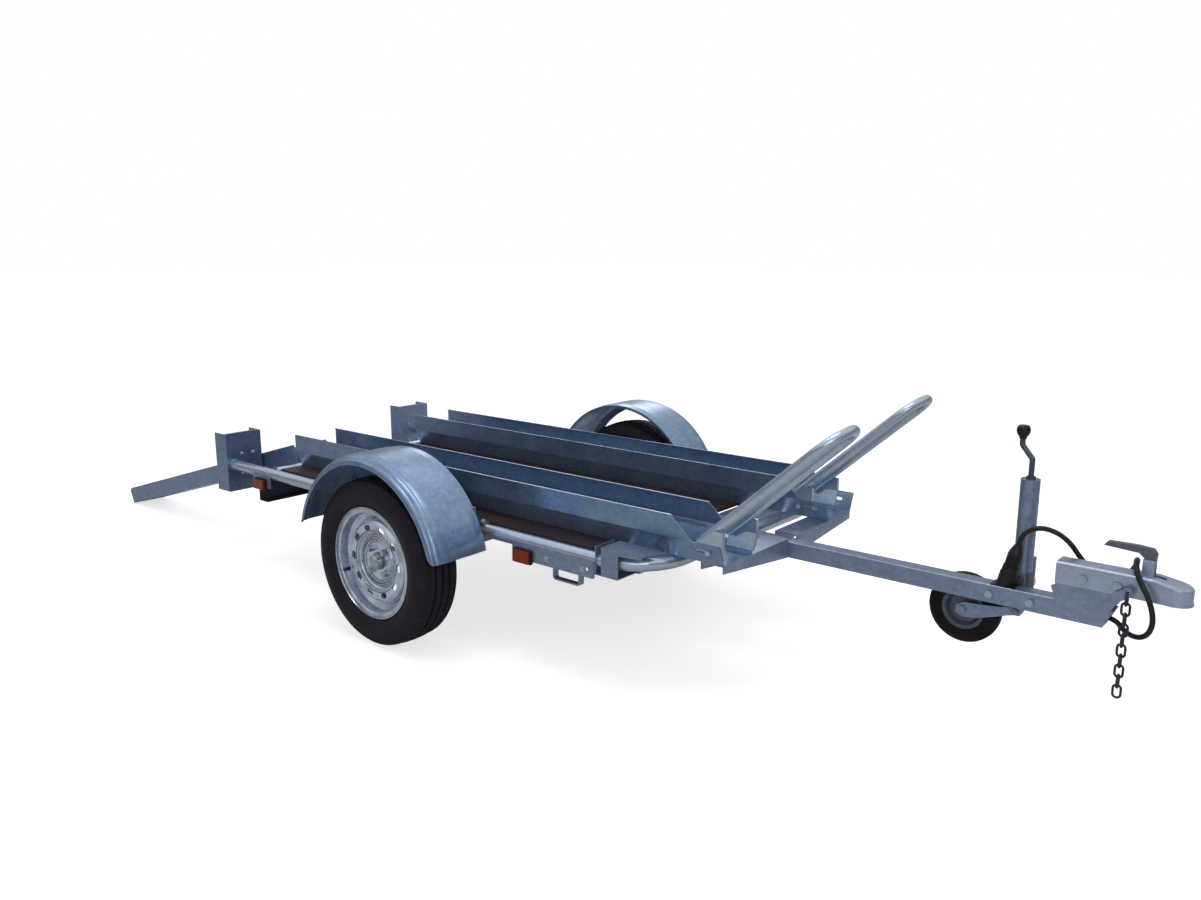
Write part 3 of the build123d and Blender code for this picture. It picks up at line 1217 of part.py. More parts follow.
# Coupling jaw: the pad that closes under the ball's rear
with BuildPart() as coupling_jaw:
    with BuildSketch(side_plane(0)):
        with BuildLine():
            Polyline(
                (JAW_PIVOT_X - 9, JAW_PIVOT_Z - 7), (JAW_PIVOT_X - 9, JAW_PIVOT_Z + 1),
                (JAW_PIVOT_X - 3, JAW_PIVOT_Z + 9), (JAW_PIVOT_X + 5, JAW_PIVOT_Z + 8),
                (JAW_PIVOT_X + 14, JAW_PIVOT_Z - 6), (JAW_PIVOT_X + 13, BALL_Z - 8),
                (JAW_PIVOT_X - 4, BALL_Z - 12), close=True,
            )
        make_face()
        with Locations((JAW_PIVOT_X, JAW_PIVOT_Z)):
            Circle(PIVOT_R + RUNNING, mode=Mode.SUBTRACT)
    extrude(amount=HANDLE_W / 2, both=True)
coupling_jaw.part.label = "coupling_jaw"
export_step(coupling_jaw.part, "parts/coupling_jaw.step")

# Cross bolts of the coupling and of the jockey clamp
with BuildPart() as drawbar_bolts:
    for bolt_x, bolt_z, near_y, far_y in (
        [(x, HEAD_BOLT_Z, HEAD_HALF, HEAD_HALF) for x in HEAD_BOLT_XS]
        + [(x, CLAMP_BOLT_Z, BAR_SIDE / 2, BAR_SIDE / 2 + CLAMP_T) for x in clamp_bolt_xs]
    ):
        with BuildSketch(side_plane(-near_y)):
            with Locations((bolt_x, bolt_z)):
                RegularPolygon(9.5, 6, major_radius=False)
        extrude(amount=7.5)
        with BuildSketch(side_plane(far_y)):
            with Locations((bolt_x, bolt_z)):
                RegularPolygon(9.5, 6, major_radius=False)
        extrude(amount=-9)
        with BuildSketch(side_plane(far_y + 13)):
            with Locations((bolt_x, bolt_z)):
                Circle(HEAD_BOLT_D / 2)
        extrude(amount=near_y + far_y + 13)
drawbar_bolts.part.label = "drawbar_bolts"
export_step(drawbar_bolts.part, "parts/drawbar_bolts.step")

# Jockey clamp: a plate on the drawbar's left side with a split ring
clamp_in_y = BAR_SIDE / 2
with BuildPart() as jockey_clamp:
    with BuildSketch(side_plane(clamp_in_y + CLAMP_T / 2)):
        with Locations((JOCKEY_X, CLAMP_BOLT_Z)):
            RectangleRounded(2 * CLAMP_BOLT_HALF + 34, 44, 6)
            with Locations([(x - JOCKEY_X, 0) for x in clamp_bolt_xs]):
                Circle(HEAD_BOLT_D / 2 + FIT, mode=Mode.SUBTRACT)
    extrude(amount=CLAMP_T / 2, both=True)
    with BuildSketch(Plane.XY.offset(CLAMP_LOW)):
        with Locations((JOCKEY_X, JOCKEY_Y)):
            Circle(JOCKEY_R + RUNNING + CLAMP_T)
        with Locations((JOCKEY_X, (clamp_in_y + JOCKEY_Y) / 2)):
            Rectangle(36, JOCKEY_Y - clamp_in_y)
        with Locations((JOCKEY_X, JOCKEY_Y + JOCKEY_R + CLAMP_T + 6)):
            Rectangle(22, 26)
        with Locations((JOCKEY_X, JOCKEY_Y)):
            Circle(JOCKEY_R + RUNNING, mode=Mode.SUBTRACT)
        with Locations((JOCKEY_X, JOCKEY_Y + JOCKEY_R + CLAMP_T + 5)):
            Rectangle(5, 40, mode=Mode.SUBTRACT)
    extrude(amount=CLAMP_H)
    clamp_screw_y = JOCKEY_Y + JOCKEY_R + CLAMP_T + 12
    clamp_screw_z = CLAMP_LOW + CLAMP_H / 2
    with BuildSketch(Plane.YZ.offset(JOCKEY_X - 12)):
        with Locations((clamp_screw_y, clamp_screw_z)):
            Circle(5 + RUNNING)
    extrude(amount=24, mode=Mode.SUBTRACT)
jockey_clamp.part.label = "jockey_clamp"
export_step(jockey_clamp.part, "parts/jockey_clamp.step")

with BuildPart() as clamp_lever:
    with BuildSketch(Plane.YZ.offset(JOCKEY_X - 20)):
        with Locations((clamp_screw_y, clamp_screw_z)):
            Circle(5)
    extrude(amount=40)
    with BuildSketch(Plane.YZ.offset(JOCKEY_X + 11 + FIT)):
        with Locations((clamp_screw_y, clamp_screw_z)):
            Circle(10)
    extrude(amount=9)
    with BuildSketch(Plane.YZ.offset(JOCKEY_X - 11 - FIT)):
        with Locations((clamp_screw_y, clamp_screw_z)):
            RegularPolygon(8.5, 6, major_radius=False)
    extrude(amount=-8)
    with BuildSketch(Plane.XY.offset(clamp_screw_z)):
        with Locations((JOCKEY_X + 11 + FIT + 4.5, clamp_screw_y)):
            Circle(4.5)
    extrude(amount=70)
clamp_lever.part.label = "clamp_lever"
export_step(clamp_lever.part, "parts/clamp_lever.step")

# Jockey outer tube, closed by a cap with the spindle's bore
with BuildPart() as jockey_outer_tube:
    with BuildSketch(Plane.XY.offset(JOCKEY_LOW)):
        with Locations((JOCKEY_X, JOCKEY_Y)):
            Circle(JOCKEY_R)
            Circle(JOCKEY_R - JOCKEY_WALL, mode=Mode.SUBTRACT)
    extrude(amount=JOCKEY_TOP - JOCKEY_LOW - 4)
    with BuildSketch(Plane.XY.offset(JOCKEY_TOP - 4)):
        with Locations((JOCKEY_X, JOCKEY_Y)):
            Circle(JOCKEY_R)
            Circle(ROD_R + RUNNING, mode=Mode.SUBTRACT)
    extrude(amount=4)
    chamfer(jockey_outer_tube.edges().filter_by(GeomType.CIRCLE).sort_by(Axis.Z)[-1], 1.5)
jockey_outer_tube.part.label = "jockey_outer_tube"
export_step(jockey_outer_tube.part, "parts/jockey_outer_tube.step")

with BuildPart() as jockey_inner_tube:
    with BuildSketch(Plane.XY.offset(INNER_LOW)):
        with Locations((JOCKEY_X, JOCKEY_Y)):
            Circle(INNER_R)
            Circle(INNER_R - JOCKEY_WALL, mode=Mode.SUBTRACT)
    extrude(amount=INNER_L)
    with BuildSketch(Plane.XY.offset(INNER_LOW + INNER_L - 22)):
        with Locations((JOCKEY_X, JOCKEY_Y)):
            Circle(INNER_R)
            Circle(ROD_R + 1, mode=Mode.SUBTRACT)
    extrude(amount=22)
    with BuildSketch(side_plane(JOCKEY_Y)):
        with BuildLine():
            Polyline(
                (JOCKEY_X - 18, INNER_LOW), (JOCKEY_X + 16, INNER_LOW), (JOCKEY_X + 6, FORK_PIN_Z - 12),
                (FORK_PIN_X - 8, FORK_PIN_Z - 12), (FORK_PIN_X - 12, FORK_PIN_Z), close=True,
            )
        make_face()
        with Locations((FORK_PIN_X, FORK_PIN_Z)):
            Circle(JOCKEY_PIN_R - 2 + RUNNING, mode=Mode.SUBTRACT)
    extrude(amount=16, both=True)
    with BuildSketch(Plane.XY.offset(INNER_LOW)):
        with Locations((JOCKEY_X, JOCKEY_Y)):
            Circle(INNER_R)
    extrude(amount=4)
jockey_inner_tube.part.label = "jockey_inner_tube"
export_step(jockey_inner_tube.part, "parts/jockey_inner_tube.step")

# Jockey fork: two pressed cheeks joined by a web, with the hinge pin and the wheel's axle
fork_dx = JOCKEY_AXLE_X - FORK_PIN_X
fork_dz = JOCKEY_AXLE_Z - FORK_PIN_Z
fork_run = hypot(fork_dx, fork_dz)
fork_in = FORK_HALF - FORK_T
with BuildPart() as jockey_fork:
    for cheek in (-1, 1):
        with BuildSketch(side_plane(JOCKEY_Y + cheek * (FORK_HALF - FORK_T / 2))):
            with BuildLine():
                Polyline(
                    (FORK_PIN_X + 12, FORK_PIN_Z - 6), (FORK_PIN_X + 12, FORK_PIN_Z + 6),
                    (FORK_PIN_X, FORK_PIN_Z + 10), (JOCKEY_AXLE_X + 40, JOCKEY_AXLE_Z + 24),
                    (JOCKEY_AXLE_X + 4, JOCKEY_AXLE_Z + 22), (JOCKEY_AXLE_X - 16, JOCKEY_AXLE_Z + 10),
                    (JOCKEY_AXLE_X - 18, JOCKEY_AXLE_Z - 8), (JOCKEY_AXLE_X, JOCKEY_AXLE_Z - 20),
                    (JOCKEY_AXLE_X + 40, JOCKEY_AXLE_Z - 16), (FORK_PIN_X - 10, FORK_PIN_Z - 12), close=True,
                )
            make_face()
        extrude(amount=FORK_T / 2, both=True)
    with BuildSketch(side_plane(JOCKEY_Y)):
        with Locations((FORK_PIN_X, FORK_PIN_Z)):
            Circle(JOCKEY_PIN_R - 2)
        with Locations((JOCKEY_AXLE_X, JOCKEY_AXLE_Z)):
            Circle(JOCKEY_PIN_R)
    extrude(amount=FORK_HALF + 4, both=True)
    with BuildSketch(side_plane(JOCKEY_Y)):
        with Locations((JOCKEY_AXLE_X, JOCKEY_AXLE_Z)):
            RegularPolygon(11, 6, major_radius=False)
    extrude(amount=FORK_HALF + 7, both=True)
    with Locations((JOCKEY_AXLE_X, JOCKEY_Y, JOCKEY_AXLE_Z)):
        Box(40, 2 * fork_in, 40, mode=Mode.SUBTRACT)
    with BuildSketch(side_plane(JOCKEY_Y)):
        with Locations((JOCKEY_AXLE_X, JOCKEY_AXLE_Z)):
            Circle(JOCKEY_PIN_R)
    extrude(amount=FORK_HALF, both=True)
jockey_fork.part.label = "jockey_fork"
export_step(jockey_fork.part, "parts/jockey_fork.step")

jockey_axis = Axis((JOCKEY_AXLE_X, 0, JOCKEY_AXLE_Z), (0, 1, 0))
jockey_plane = Plane(origin=(JOCKEY_AXLE_X, JOCKEY_Y, JOCKEY_AXLE_Z), x_dir=(0, 1, 0), z_dir=(1, 0, 0))
with BuildPart() as jockey_rim:
    with BuildSketch(jockey_plane):
        with BuildLine():
            Polyline(
                (-24, JOCKEY_PIN_R + RUNNING), (-24, 15), (-10, 17), (-8, 40), (-20, 48), (-20, JOCKEY_RIM_R),
                (20, JOCKEY_RIM_R), (20, 48), (8, 40), (10, 17), (24, 15), (24, JOCKEY_PIN_R + RUNNING),
                close=True,
            )
        make_face()
    revolve(axis=jockey_axis)
jockey_rim.part.label = "jockey_rim"
export_step(jockey_rim.part, "parts/jockey_rim.step")

with BuildPart() as jockey_tyre:
    with BuildSketch(jockey_plane):
        with BuildLine():
            half = JOCKEY_WHEEL_W / 2
            Polyline((-20, JOCKEY_RIM_R), (-22, JOCKEY_RIM_R + 3), (-half, JOCKEY_RIM_R + 18))
            ThreePointArc(
                (-half, JOCKEY_RIM_R + 18), (-half + 6, JOCKEY_WHEEL_R - 7), (-12, JOCKEY_WHEEL_R - 1)
            )
            Line((-12, JOCKEY_WHEEL_R - 1), (0, JOCKEY_WHEEL_R))
            Line((0, JOCKEY_WHEEL_R), (12, JOCKEY_WHEEL_R - 1))
            ThreePointArc(
                (12, JOCKEY_WHEEL_R - 1), (half - 6, JOCKEY_WHEEL_R - 7), (half, JOCKEY_RIM_R + 18)
            )
            Polyline((half, JOCKEY_RIM_R + 18), (22, JOCKEY_RIM_R + 3), (20, JOCKEY_RIM_R), (-20, JOCKEY_RIM_R))
        make_face()
    revolve(axis=jockey_axis)
jockey_tyre.part.label = "jockey_tyre"
export_step(jockey_tyre.part, "parts/jockey_tyre.step")

# Crank: a cranked rod on the spindle, with a turning knob
rod_top = JOCKEY_TOP + 52
with BuildPart() as jockey_crank:
    with BuildLine():
        FilletPolyline(
            (JOCKEY_X, JOCKEY_Y, JOCKEY_TOP - 110),
            (JOCKEY_X, JOCKEY_Y, rod_top),
            (JOCKEY_X - KNOB_THROW, JOCKEY_Y, rod_top + 34),
            (JOCKEY_X - KNOB_THROW, JOCKEY_Y, rod_top + 50),
            radius=12,
        )
    with BuildSketch(Plane.XY.offset(JOCKEY_TOP - 110)):
        with Locations((JOCKEY_X, JOCKEY_Y)):
            Circle(ROD_R)
    sweep()
    with BuildSketch(Plane.XY.offset(JOCKEY_TOP + FIT)):
        with Locations((JOCKEY_X, JOCKEY_Y)):
            Circle(ROD_R + 5)
    extrude(amount=6)
    with BuildSketch(Plane.XY.offset(rod_top + 50)):
        with Locations((JOCKEY_X - KNOB_THROW, JOCKEY_Y)):
            Circle(KNOB_PIN_R)
    extrude(amount=30)
jockey_crank.part.label = "jockey_crank"
export_step(jockey_crank.part, "parts/jockey_crank.step")

with BuildPart() as crank_knob:
    knob_plane = Plane(origin=(JOCKEY_X - KNOB_THROW, JOCKEY_Y, rod_top + 50), x_dir=(1, 0, 0), z_dir=(0, -1, 0))
    with BuildSketch(knob_plane):
        with BuildLine():
            Polyline(
                (0, 30 + FIT), (KNOB_PIN_R + RUNNING, 30 + FIT), (KNOB_PIN_R + RUNNING, FIT), (9, FIT), (10, 6),
            )
            Spline((10, 6), (15.2, 13), (KNOB_R, 21), (16, 29), (12, 35))
            Polyline((12, 35), (0, 37), (0, 30 + FIT))
        make_face()
    revolve(axis=Axis((JOCKEY_X - KNOB_THROW, JOCKEY_Y, 0), (0, 0, 1)))
crank_knob.part.label = "crank_knob"
export_step(crank_knob.part, "parts/crank_knob.step")

# Plug holder on the drawbar and the parked plug
plug_lean = radians(PLUG_LEAN)
plug_plane = Plane(origin=PLUG_FOOT, x_dir=(0, 1, 0), z_dir=(sin(plug_lean), 0, cos(plug_lean)))
with BuildPart() as plug_holder:
    with BuildSketch(plug_plane):
        Circle(PLUG_R + 5)
    extrude(amount=-40)
    with BuildSketch(Plane.XY.offset(BAR_TOP)):
        with Locations((PLUG_FOOT[0] - 8, 0)):
            RectangleRounded(62, 44, 4)
    extrude(amount=3)
    with BuildSketch(Plane.XY.offset(BAR_TOP)):
        with Locations((PLUG_FOOT[0], 0)):
            Rectangle(120, 120)
    extrude(amount=-60, mode=Mode.SUBTRACT)
plug_holder.part.label = "plug_holder"
export_step(plug_holder.part, "parts/plug_holder.step")

with BuildPart() as trailer_plug:
    with BuildSketch(plug_plane):
        Circle(PLUG_R + 3)
    extrude(amount=18)
    with BuildSketch(plug_plane.offset(18)):
        Circle(PLUG_R)
    extrude(amount=40)
    with BuildSketch(plug_plane.offset(58)):
        Circle(PLUG_R)
    with BuildSketch(plug_plane.offset(PLUG_L)):
        Circle(CABLE_D / 2 + 2)
    loft()
trailer_plug.part.label = "trailer_plug"
export_step(trailer_plug.part, "parts/trailer_plug.step")

# Trailer cable: out of the drawbar's end, a hanging bight, over the coupling and back to the parked plug
plug_top = Vector(*PLUG_FOOT) + Vector(sin(plug_lean), 0, cos(plug_lean)) * PLUG_L
plug_lead = plug_top + Vector(sin(plug_lean), 0, cos(plug_lean)) * 27
cable_points = [
    (cable_wall_x, 0, bar_mid - 1),
    (from_axle(1994), 0, bar_mid - 1),
    (from_axle(2022), -12, 352),
    (from_axle(2050), -26, 348),
    (from_axle(2075), -40, 363),
    (from_axle(2087), -50, 395),
    (from_axle(2084), -55, 430),
    (from_axle(2069), -54, 468),
    (from_axle(2045), -47, 502),
    (from_axle(2031), -20, 530),
    (from_axle(2026), 21, 530),
    (from_axle(2020), 50, 505),
    (from_axle(1999), 60, 469),
    (from_axle(1958), 59, 453),
    (from_axle(1918), 56, 467),
    (from_axle(1892), 46, 498),
    (from_axle(1869), 37, 533),
    (from_axle(1842), 24, 557),
    (from_axle(1809), 11, 568),
    (from_axle(1781), 3, 561),
    (plug_lead.X, plug_lead.Y, plug_lead.Z),
    (plug_top.X, plug_top.Y, plug_top.Z),
]
cable_vectors = [Vector(*point) for point in cable_points]
cable_runs = [(b - a).length for a, b in zip(cable_vectors, cable_vectors[1:])]
cable_radii = []
for before, here, after, run_in, run_out in zip(
    cable_vectors, cable_vectors[1:], cable_vectors[2:], cable_runs, cable_runs[1:]
):
    turn = (here - before).get_angle(after - here)
    cable_radii.append(0.45 * min(run_in, run_out) / tan(radians(turn) / 2))
print("cable runs", [round(run) for run in cable_runs])
print("cable radii", [round(radius) for radius in cable_radii])
with BuildPart() as trailer_cable:
    with BuildLine() as cable_line:
        FilletPolyline(*cable_points, radius=cable_radii)
    with BuildSketch(Plane(origin=cable_points[0], z_dir=cable_line.line % 0)):
        Circle(CABLE_D / 2)
    sweep()
cable_length = cable_line.wires()[0].length
print("cable length", round(cable_length), "volume ratio",
      round(trailer_cable.part.volume / (cable_length * 3.14159265 * CABLE_D ** 2 / 4), 4))
trailer_cable.part.label = "trailer_cable"
export_step(trailer_cable.part, "parts/trailer_cable.step")

# Safety chain: welded links, hung in two swinging lengths
link_pitch = LINK_IN_L
link_mid_r = (LINK_IN_W + LINK_WIRE) / 2
link_straight = LINK_IN_L - LINK_IN_W


def chain_link(top_z, turned):
    """A stadium link hanging with the middle of its upper bend's wire at top_z."""
    lie = Plane(
        origin=(CHAIN_X, CHAIN_Y, top_z - (LINK_IN_L + LINK_WIRE) / 2),
        x_dir=(0, 1, 0) if turned else (1, 0, 0),
        z_dir=(1, 0, 0) if turned else (0, -1, 0),
    )
    with BuildLine(lie) as loop:
        half_straight = link_straight / 2
        Line((link_mid_r, -half_straight), (link_mid_r, half_straight))
        ThreePointArc((link_mid_r, half_straight), (0, half_straight + link_mid_r), (-link_mid_r, half_straight))
        Line((-link_mid_r, half_straight), (-link_mid_r, -half_straight))
        ThreePointArc((-link_mid_r, -half_straight), (0, -half_straight - link_mid_r), (link_mid_r, -half_straight))
    link_wire = loop.wires()[0]
    with BuildSketch(Plane(origin=link_wire @ 0, z_dir=link_wire % 0)) as link_section:
        Circle(LINK_WIRE / 2)
    sweep(sections=link_section.sketch, path=link_wire)


upper_links = 5
lower_links = 5
with BuildPart() as safety_chain_upper:
    for count in range(upper_links):
        chain_link(CHAIN_TOP - count * link_pitch, count % 2 == 0)
safety_chain_upper.part.label = "safety_chain_upper"
export_step(safety_chain_upper.part, "parts/safety_chain_upper.step")
with BuildPart() as safety_chain_lower:
    for count in range(upper_links, upper_links + lower_links):
        chain_link(CHAIN_TOP - count * link_pitch, count % 2 == 0)
safety_chain_lower.part.label = "safety_chain_lower"
export_step(safety_chain_lower.part, "parts/safety_chain_lower.step")
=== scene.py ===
"""Looks of the two-rail motorcycle trailer: camera, cable, materials, small fittings and studio."""
from math import cos, pi, radians, sin

import bmesh
import bpy
from mathutils import Matrix, Vector


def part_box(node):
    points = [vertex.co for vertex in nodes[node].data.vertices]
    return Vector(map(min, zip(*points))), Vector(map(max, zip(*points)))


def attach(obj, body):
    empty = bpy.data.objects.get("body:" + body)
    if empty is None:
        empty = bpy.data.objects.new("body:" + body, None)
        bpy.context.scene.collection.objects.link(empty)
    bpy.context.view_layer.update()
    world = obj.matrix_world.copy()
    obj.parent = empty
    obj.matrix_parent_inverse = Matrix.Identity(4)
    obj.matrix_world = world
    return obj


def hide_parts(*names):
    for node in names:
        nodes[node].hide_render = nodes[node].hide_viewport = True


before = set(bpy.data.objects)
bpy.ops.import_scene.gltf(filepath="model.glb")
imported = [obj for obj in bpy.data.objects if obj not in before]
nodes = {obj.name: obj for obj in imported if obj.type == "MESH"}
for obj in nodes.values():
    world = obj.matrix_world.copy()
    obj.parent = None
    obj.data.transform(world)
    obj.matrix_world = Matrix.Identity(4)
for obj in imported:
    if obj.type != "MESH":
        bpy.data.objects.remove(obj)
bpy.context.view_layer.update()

# Places in metres
AXLE_X = 0.1135
WHEEL_Z = 0.2735
WHEEL_Y = 0.648
RIM_FACE_Y = 0.715
TREAD_R = 0.2555
SIDEWALL_RINGS_R = (0.232, 0.247)
DISC_RINGS_R = (0.060, 0.103)
VALVE_R = 0.148
TUBE_Y, TUBE_Z, TUBE_R = 0.490, 0.390, 0.0214
RAIL_Y, RAIL_CREASE_Y, RAIL_CREASE_Z = 0.300, 0.0721, 0.4705
BRACKET_Y, BRACKET_Z = 0.5324, 0.4112
PLUG_FOOT, PLUG_LEAN = (1.8505, 0, 0.438), radians(13)

SHARP_ANGLE = radians(32)
SIDES = ((-1, "right"), (1, "left"))
scene = bpy.context.scene


def from_axle(distance):
    """Model X in metres of a point this many millimetres ahead of the axle."""
    return AXLE_X + distance / 1000


# Camera: fitted to the photograph's wheel, rails and drawbar
camera_data = bpy.data.cameras.new("camera")
camera_data.sensor_width = 36
camera_data.lens = 30.39
camera_data.clip_end = 200
camera = bpy.data.objects.new("camera", camera_data)
camera.location = (AXLE_X + 2.539, -2.595, 1.283)
camera.rotation_euler = (radians(90 - 11.79), 0, radians(40.07))
scene.collection.objects.link(camera)
scene.camera = camera


def colour_ramp(tree, *stops):
    """A colour ramp node with these (position, colour) stops."""
    node = tree.nodes.new("ShaderNodeValToRGB")
    points = node.color_ramp.elements
    while len(points) < len(stops):
        points.new(0.5)
    for point, (position, colour) in zip(points, stops):
        point.position = position
        point.color = (*colour, 1)
    return node


# Material tools: a node tree is written as nested calls on one Surface
class Surface:
    """A procedural material on object coordinates."""

    def __init__(self, name, **settings):
        self.material = bpy.data.materials.new(name)
        self.material.use_nodes = True
        self.tree = self.material.node_tree
        self.tree.nodes.clear()
        self.output = self.tree.nodes.new("ShaderNodeOutputMaterial")
        self.shader = self.tree.nodes.new("ShaderNodeBsdfPrincipled")
        self.tree.links.new(self.shader.outputs[0], self.output.inputs[0])
        self.place = self.tree.nodes.new("ShaderNodeTexCoord").outputs["Object"]
        for key, value in settings.items():
            self.set(key.replace("_", " "), value)

    def set(self, socket, value):
        self.feed(self.shader.inputs[socket], value)

    def feed(self, socket, value):
        if isinstance(value, bpy.types.NodeSocket):
            self.tree.links.new(value, socket)
        elif isinstance(value, tuple) and len(value) == 3 and socket.type == "RGBA":
            socket.default_value = (*value, 1)
        else:
            socket.default_value = value

    def math(self, operation, first, second=0.0, third=None):
        node = self.tree.nodes.new("ShaderNodeMath")
        node.operation = operation
        self.feed(node.inputs[0], first)
        self.feed(node.inputs[1], second)
        if third is not None:
            self.feed(node.inputs[2], third)
        return node.outputs[0]

    def length(self, across, along):
        """Length of the vector with these two parts."""
        squares = self.math("ADD", self.math("MULTIPLY", across, across), self.math("MULTIPLY", along, along))
        return self.math("SQRT", squares)

    def stretch(self, scale):
        node = self.tree.nodes.new("ShaderNodeMapping")
        self.feed(node.inputs["Vector"], self.place)
        node.inputs["Scale"].default_value = scale
        return node.outputs[0]

    def noise(self, scale, detail=3.0, roughness=0.55, at=None):
        node = self.tree.nodes.new("ShaderNodeTexNoise")
        self.feed(node.inputs["Vector"], at or self.place)
        node.inputs["Scale"].default_value = scale
        node.inputs["Detail"].default_value = detail
        node.inputs["Roughness"].default_value = roughness
        return node.outputs["Fac"]

    def cells(self, scale):
        node = self.tree.nodes.new("ShaderNodeTexVoronoi")
        self.feed(node.inputs["Vector"], self.place)
        node.inputs["Scale"].default_value = scale
        return node.outputs["Color"]

    def split(self, vector=None):
        node = self.tree.nodes.new("ShaderNodeSeparateXYZ")
        self.feed(node.inputs[0], vector or self.place)
        return node.outputs

    def ramp(self, value, *stops):
        node = colour_ramp(self.tree, *stops)
        self.feed(node.inputs[0], value)
        return node.outputs[0]

    def range(self, value, low, high, to_low=0.0, to_high=1.0):
        node = self.tree.nodes.new("ShaderNodeMapRange")
        self.feed(node.inputs["Value"], value)
        for socket, number in zip(("From Min", "From Max", "To Min", "To Max"), (low, high, to_low, to_high)):
            node.inputs[socket].default_value = number
        return node.outputs[0]

    def between(self, value, low, high):
        """1 where the value lies between the two, else 0."""
        under = self.math("LESS_THAN", value, high)
        return self.math("MULTIPLY", under, self.math("GREATER_THAN", value, low))

    def mix(self, factor, first, second):
        node = self.tree.nodes.new("ShaderNodeMix")
        node.data_type = "RGBA"
        self.feed(node.inputs[0], factor)
        self.feed(node.inputs[6], first)
        self.feed(node.inputs[7], second)
        return node.outputs[2]

    def bump(self, height, distance, strength=1.0):
        node = self.tree.nodes.new("ShaderNodeBump")
        self.feed(node.inputs["Height"], height)
        node.inputs["Distance"].default_value = distance
        node.inputs["Strength"].default_value = strength
        if self.shader.inputs["Normal"].is_linked:
            self.feed(node.inputs["Normal"], self.shader.inputs["Normal"].links[0].from_socket)
        self.set("Normal", node.outputs[0])


def galvanised(name, dark, light, roughness=0.32, grain=90.0, metallic=0.62):
    """Hot-dip zinc: faint crystals, drifts of lighter and darker grey, runs and dull patches."""
    zinc = Surface(name, Metallic=metallic)
    crystal = zinc.split(zinc.cells(grain))
    drift = zinc.noise(3.4, 6, 0.62)
    streak = zinc.noise(16, 4, 0.6, zinc.stretch((0.3, 1, 1)))
    tone = zinc.math("MULTIPLY", crystal[0], 0.20)
    tone = zinc.math("MULTIPLY_ADD", drift, 0.50, tone)
    tone = zinc.math("MULTIPLY_ADD", streak, 0.30, tone)
    middle = tuple((a + b) / 2 for a, b in zip(dark, light))
    zinc.set("Base Color", zinc.ramp(tone, (0.20, dark), (0.5, middle), (0.84, light)))
    runs = zinc.noise(9, 4, 0.5, zinc.stretch((1, 1, 0.25)))
    zinc.set("Roughness", zinc.range(runs, 0.3, 0.7, roughness - 0.08, roughness + 0.12))
    zinc.bump(zinc.noise(30, 3), 0.0006, 0.30)
    zinc.bump(crystal[1], 0.0002, 0.3)
    return zinc.material


def plated(name, colour, roughness, grain=260.0):
    metal = Surface(name, Metallic=0.7)
    cloud = metal.noise(grain, 3)
    metal.set("Base Color", metal.ramp(cloud, (0.3, tuple(c * 0.72 for c in colour)), (0.7, colour)))
    metal.set("Roughness", metal.range(metal.noise(35, 3), 0.3, 0.7, roughness - 0.08, roughness + 0.1))
    metal.bump(cloud, 0.00015, 0.5)
    return metal.material


def moulded(name, colour, roughness, grain=900.0, depth=0.00012, shine=0.25):
    plastic = Surface(name, Specular_IOR_Level=shine)
    cloud = plastic.noise(14, 4)
    worn = tuple(c * 1.5 + 0.004 for c in colour)
    plastic.set("Base Color", plastic.ramp(cloud, (0.3, colour), (0.8, worn)))
    patches = plastic.noise(60, 3)
    plastic.set("Roughness", plastic.range(patches, 0.3, 0.7, roughness - 0.05, roughness + 0.08))
    plastic.bump(plastic.noise(grain, 2), depth, 0.5)
    return plastic.material


zinc_frame = galvanised("zinc_frame", (0.125, 0.180, 0.280), (0.290, 0.370, 0.505))
zinc_sheet = galvanised("zinc_sheet", (0.120, 0.185, 0.310), (0.280, 0.385, 0.560), 0.26, 80, 0.72)
# Tube zinc: the frame's zinc made lighter, a painted highlight on the hoops, side tubes and cross tube
zinc_tube = galvanised("zinc_tube", (0.320, 0.400, 0.510), (0.520, 0.610, 0.720), 0.22, 90, 0.75)
# Low zinc: the zinc made darker, painted shade on the jockey rim
zinc_low = galvanised("zinc_low", (0.050, 0.062, 0.090), (0.120, 0.145, 0.195), 0.36, 100, 0.5)
# Near-black zinc: painted shadow over the rear crossmember
zinc_dull = galvanised("zinc_dull", (0.030, 0.038, 0.060), (0.080, 0.095, 0.130), 0.5, 100, 0.4)
zinc_cast = galvanised("zinc_cast", (0.250, 0.305, 0.420), (0.440, 0.520, 0.660), 0.32, 160)
zinc_bright = plated("zinc_bright", (0.42, 0.48, 0.56), 0.26)
steel_dark = plated("steel_dark", (0.040, 0.048, 0.068), 0.42)
steel_rod = plated("steel_rod", (0.085, 0.105, 0.145), 0.34)
steel_forged = plated("steel_forged", (0.150, 0.175, 0.240), 0.40, 120)
steel_grip = plated("steel_grip", (0.140, 0.160, 0.225), 0.34, 120)
black_moulding = moulded("black_moulding", (0.010, 0.010, 0.012), 0.42)
black_smooth = moulded("black_smooth", (0.008, 0.008, 0.010), 0.26, 1400, 0.00005)
sheath = moulded("sheath", (0.008, 0.008, 0.010), 0.38, 600, 0.0001)
castor_rubber = moulded("castor_rubber", (0.005, 0.005, 0.007), 0.6, 500, 0.0003, 0.12)


def wheel_angles(surface, centre_y):
    """Angle round the axle, radius and distance from the wheel's middle plane."""
    x, y, z = surface.split()
    ahead = surface.math("SUBTRACT", x, AXLE_X)
    above = surface.math("SUBTRACT", z, WHEEL_Z)
    angle = surface.math("ARCTAN2", above, ahead)
    aside = surface.math("ABSOLUTE", surface.math("SUBTRACT", y, centre_y))
    return angle, surface.length(ahead, above), aside


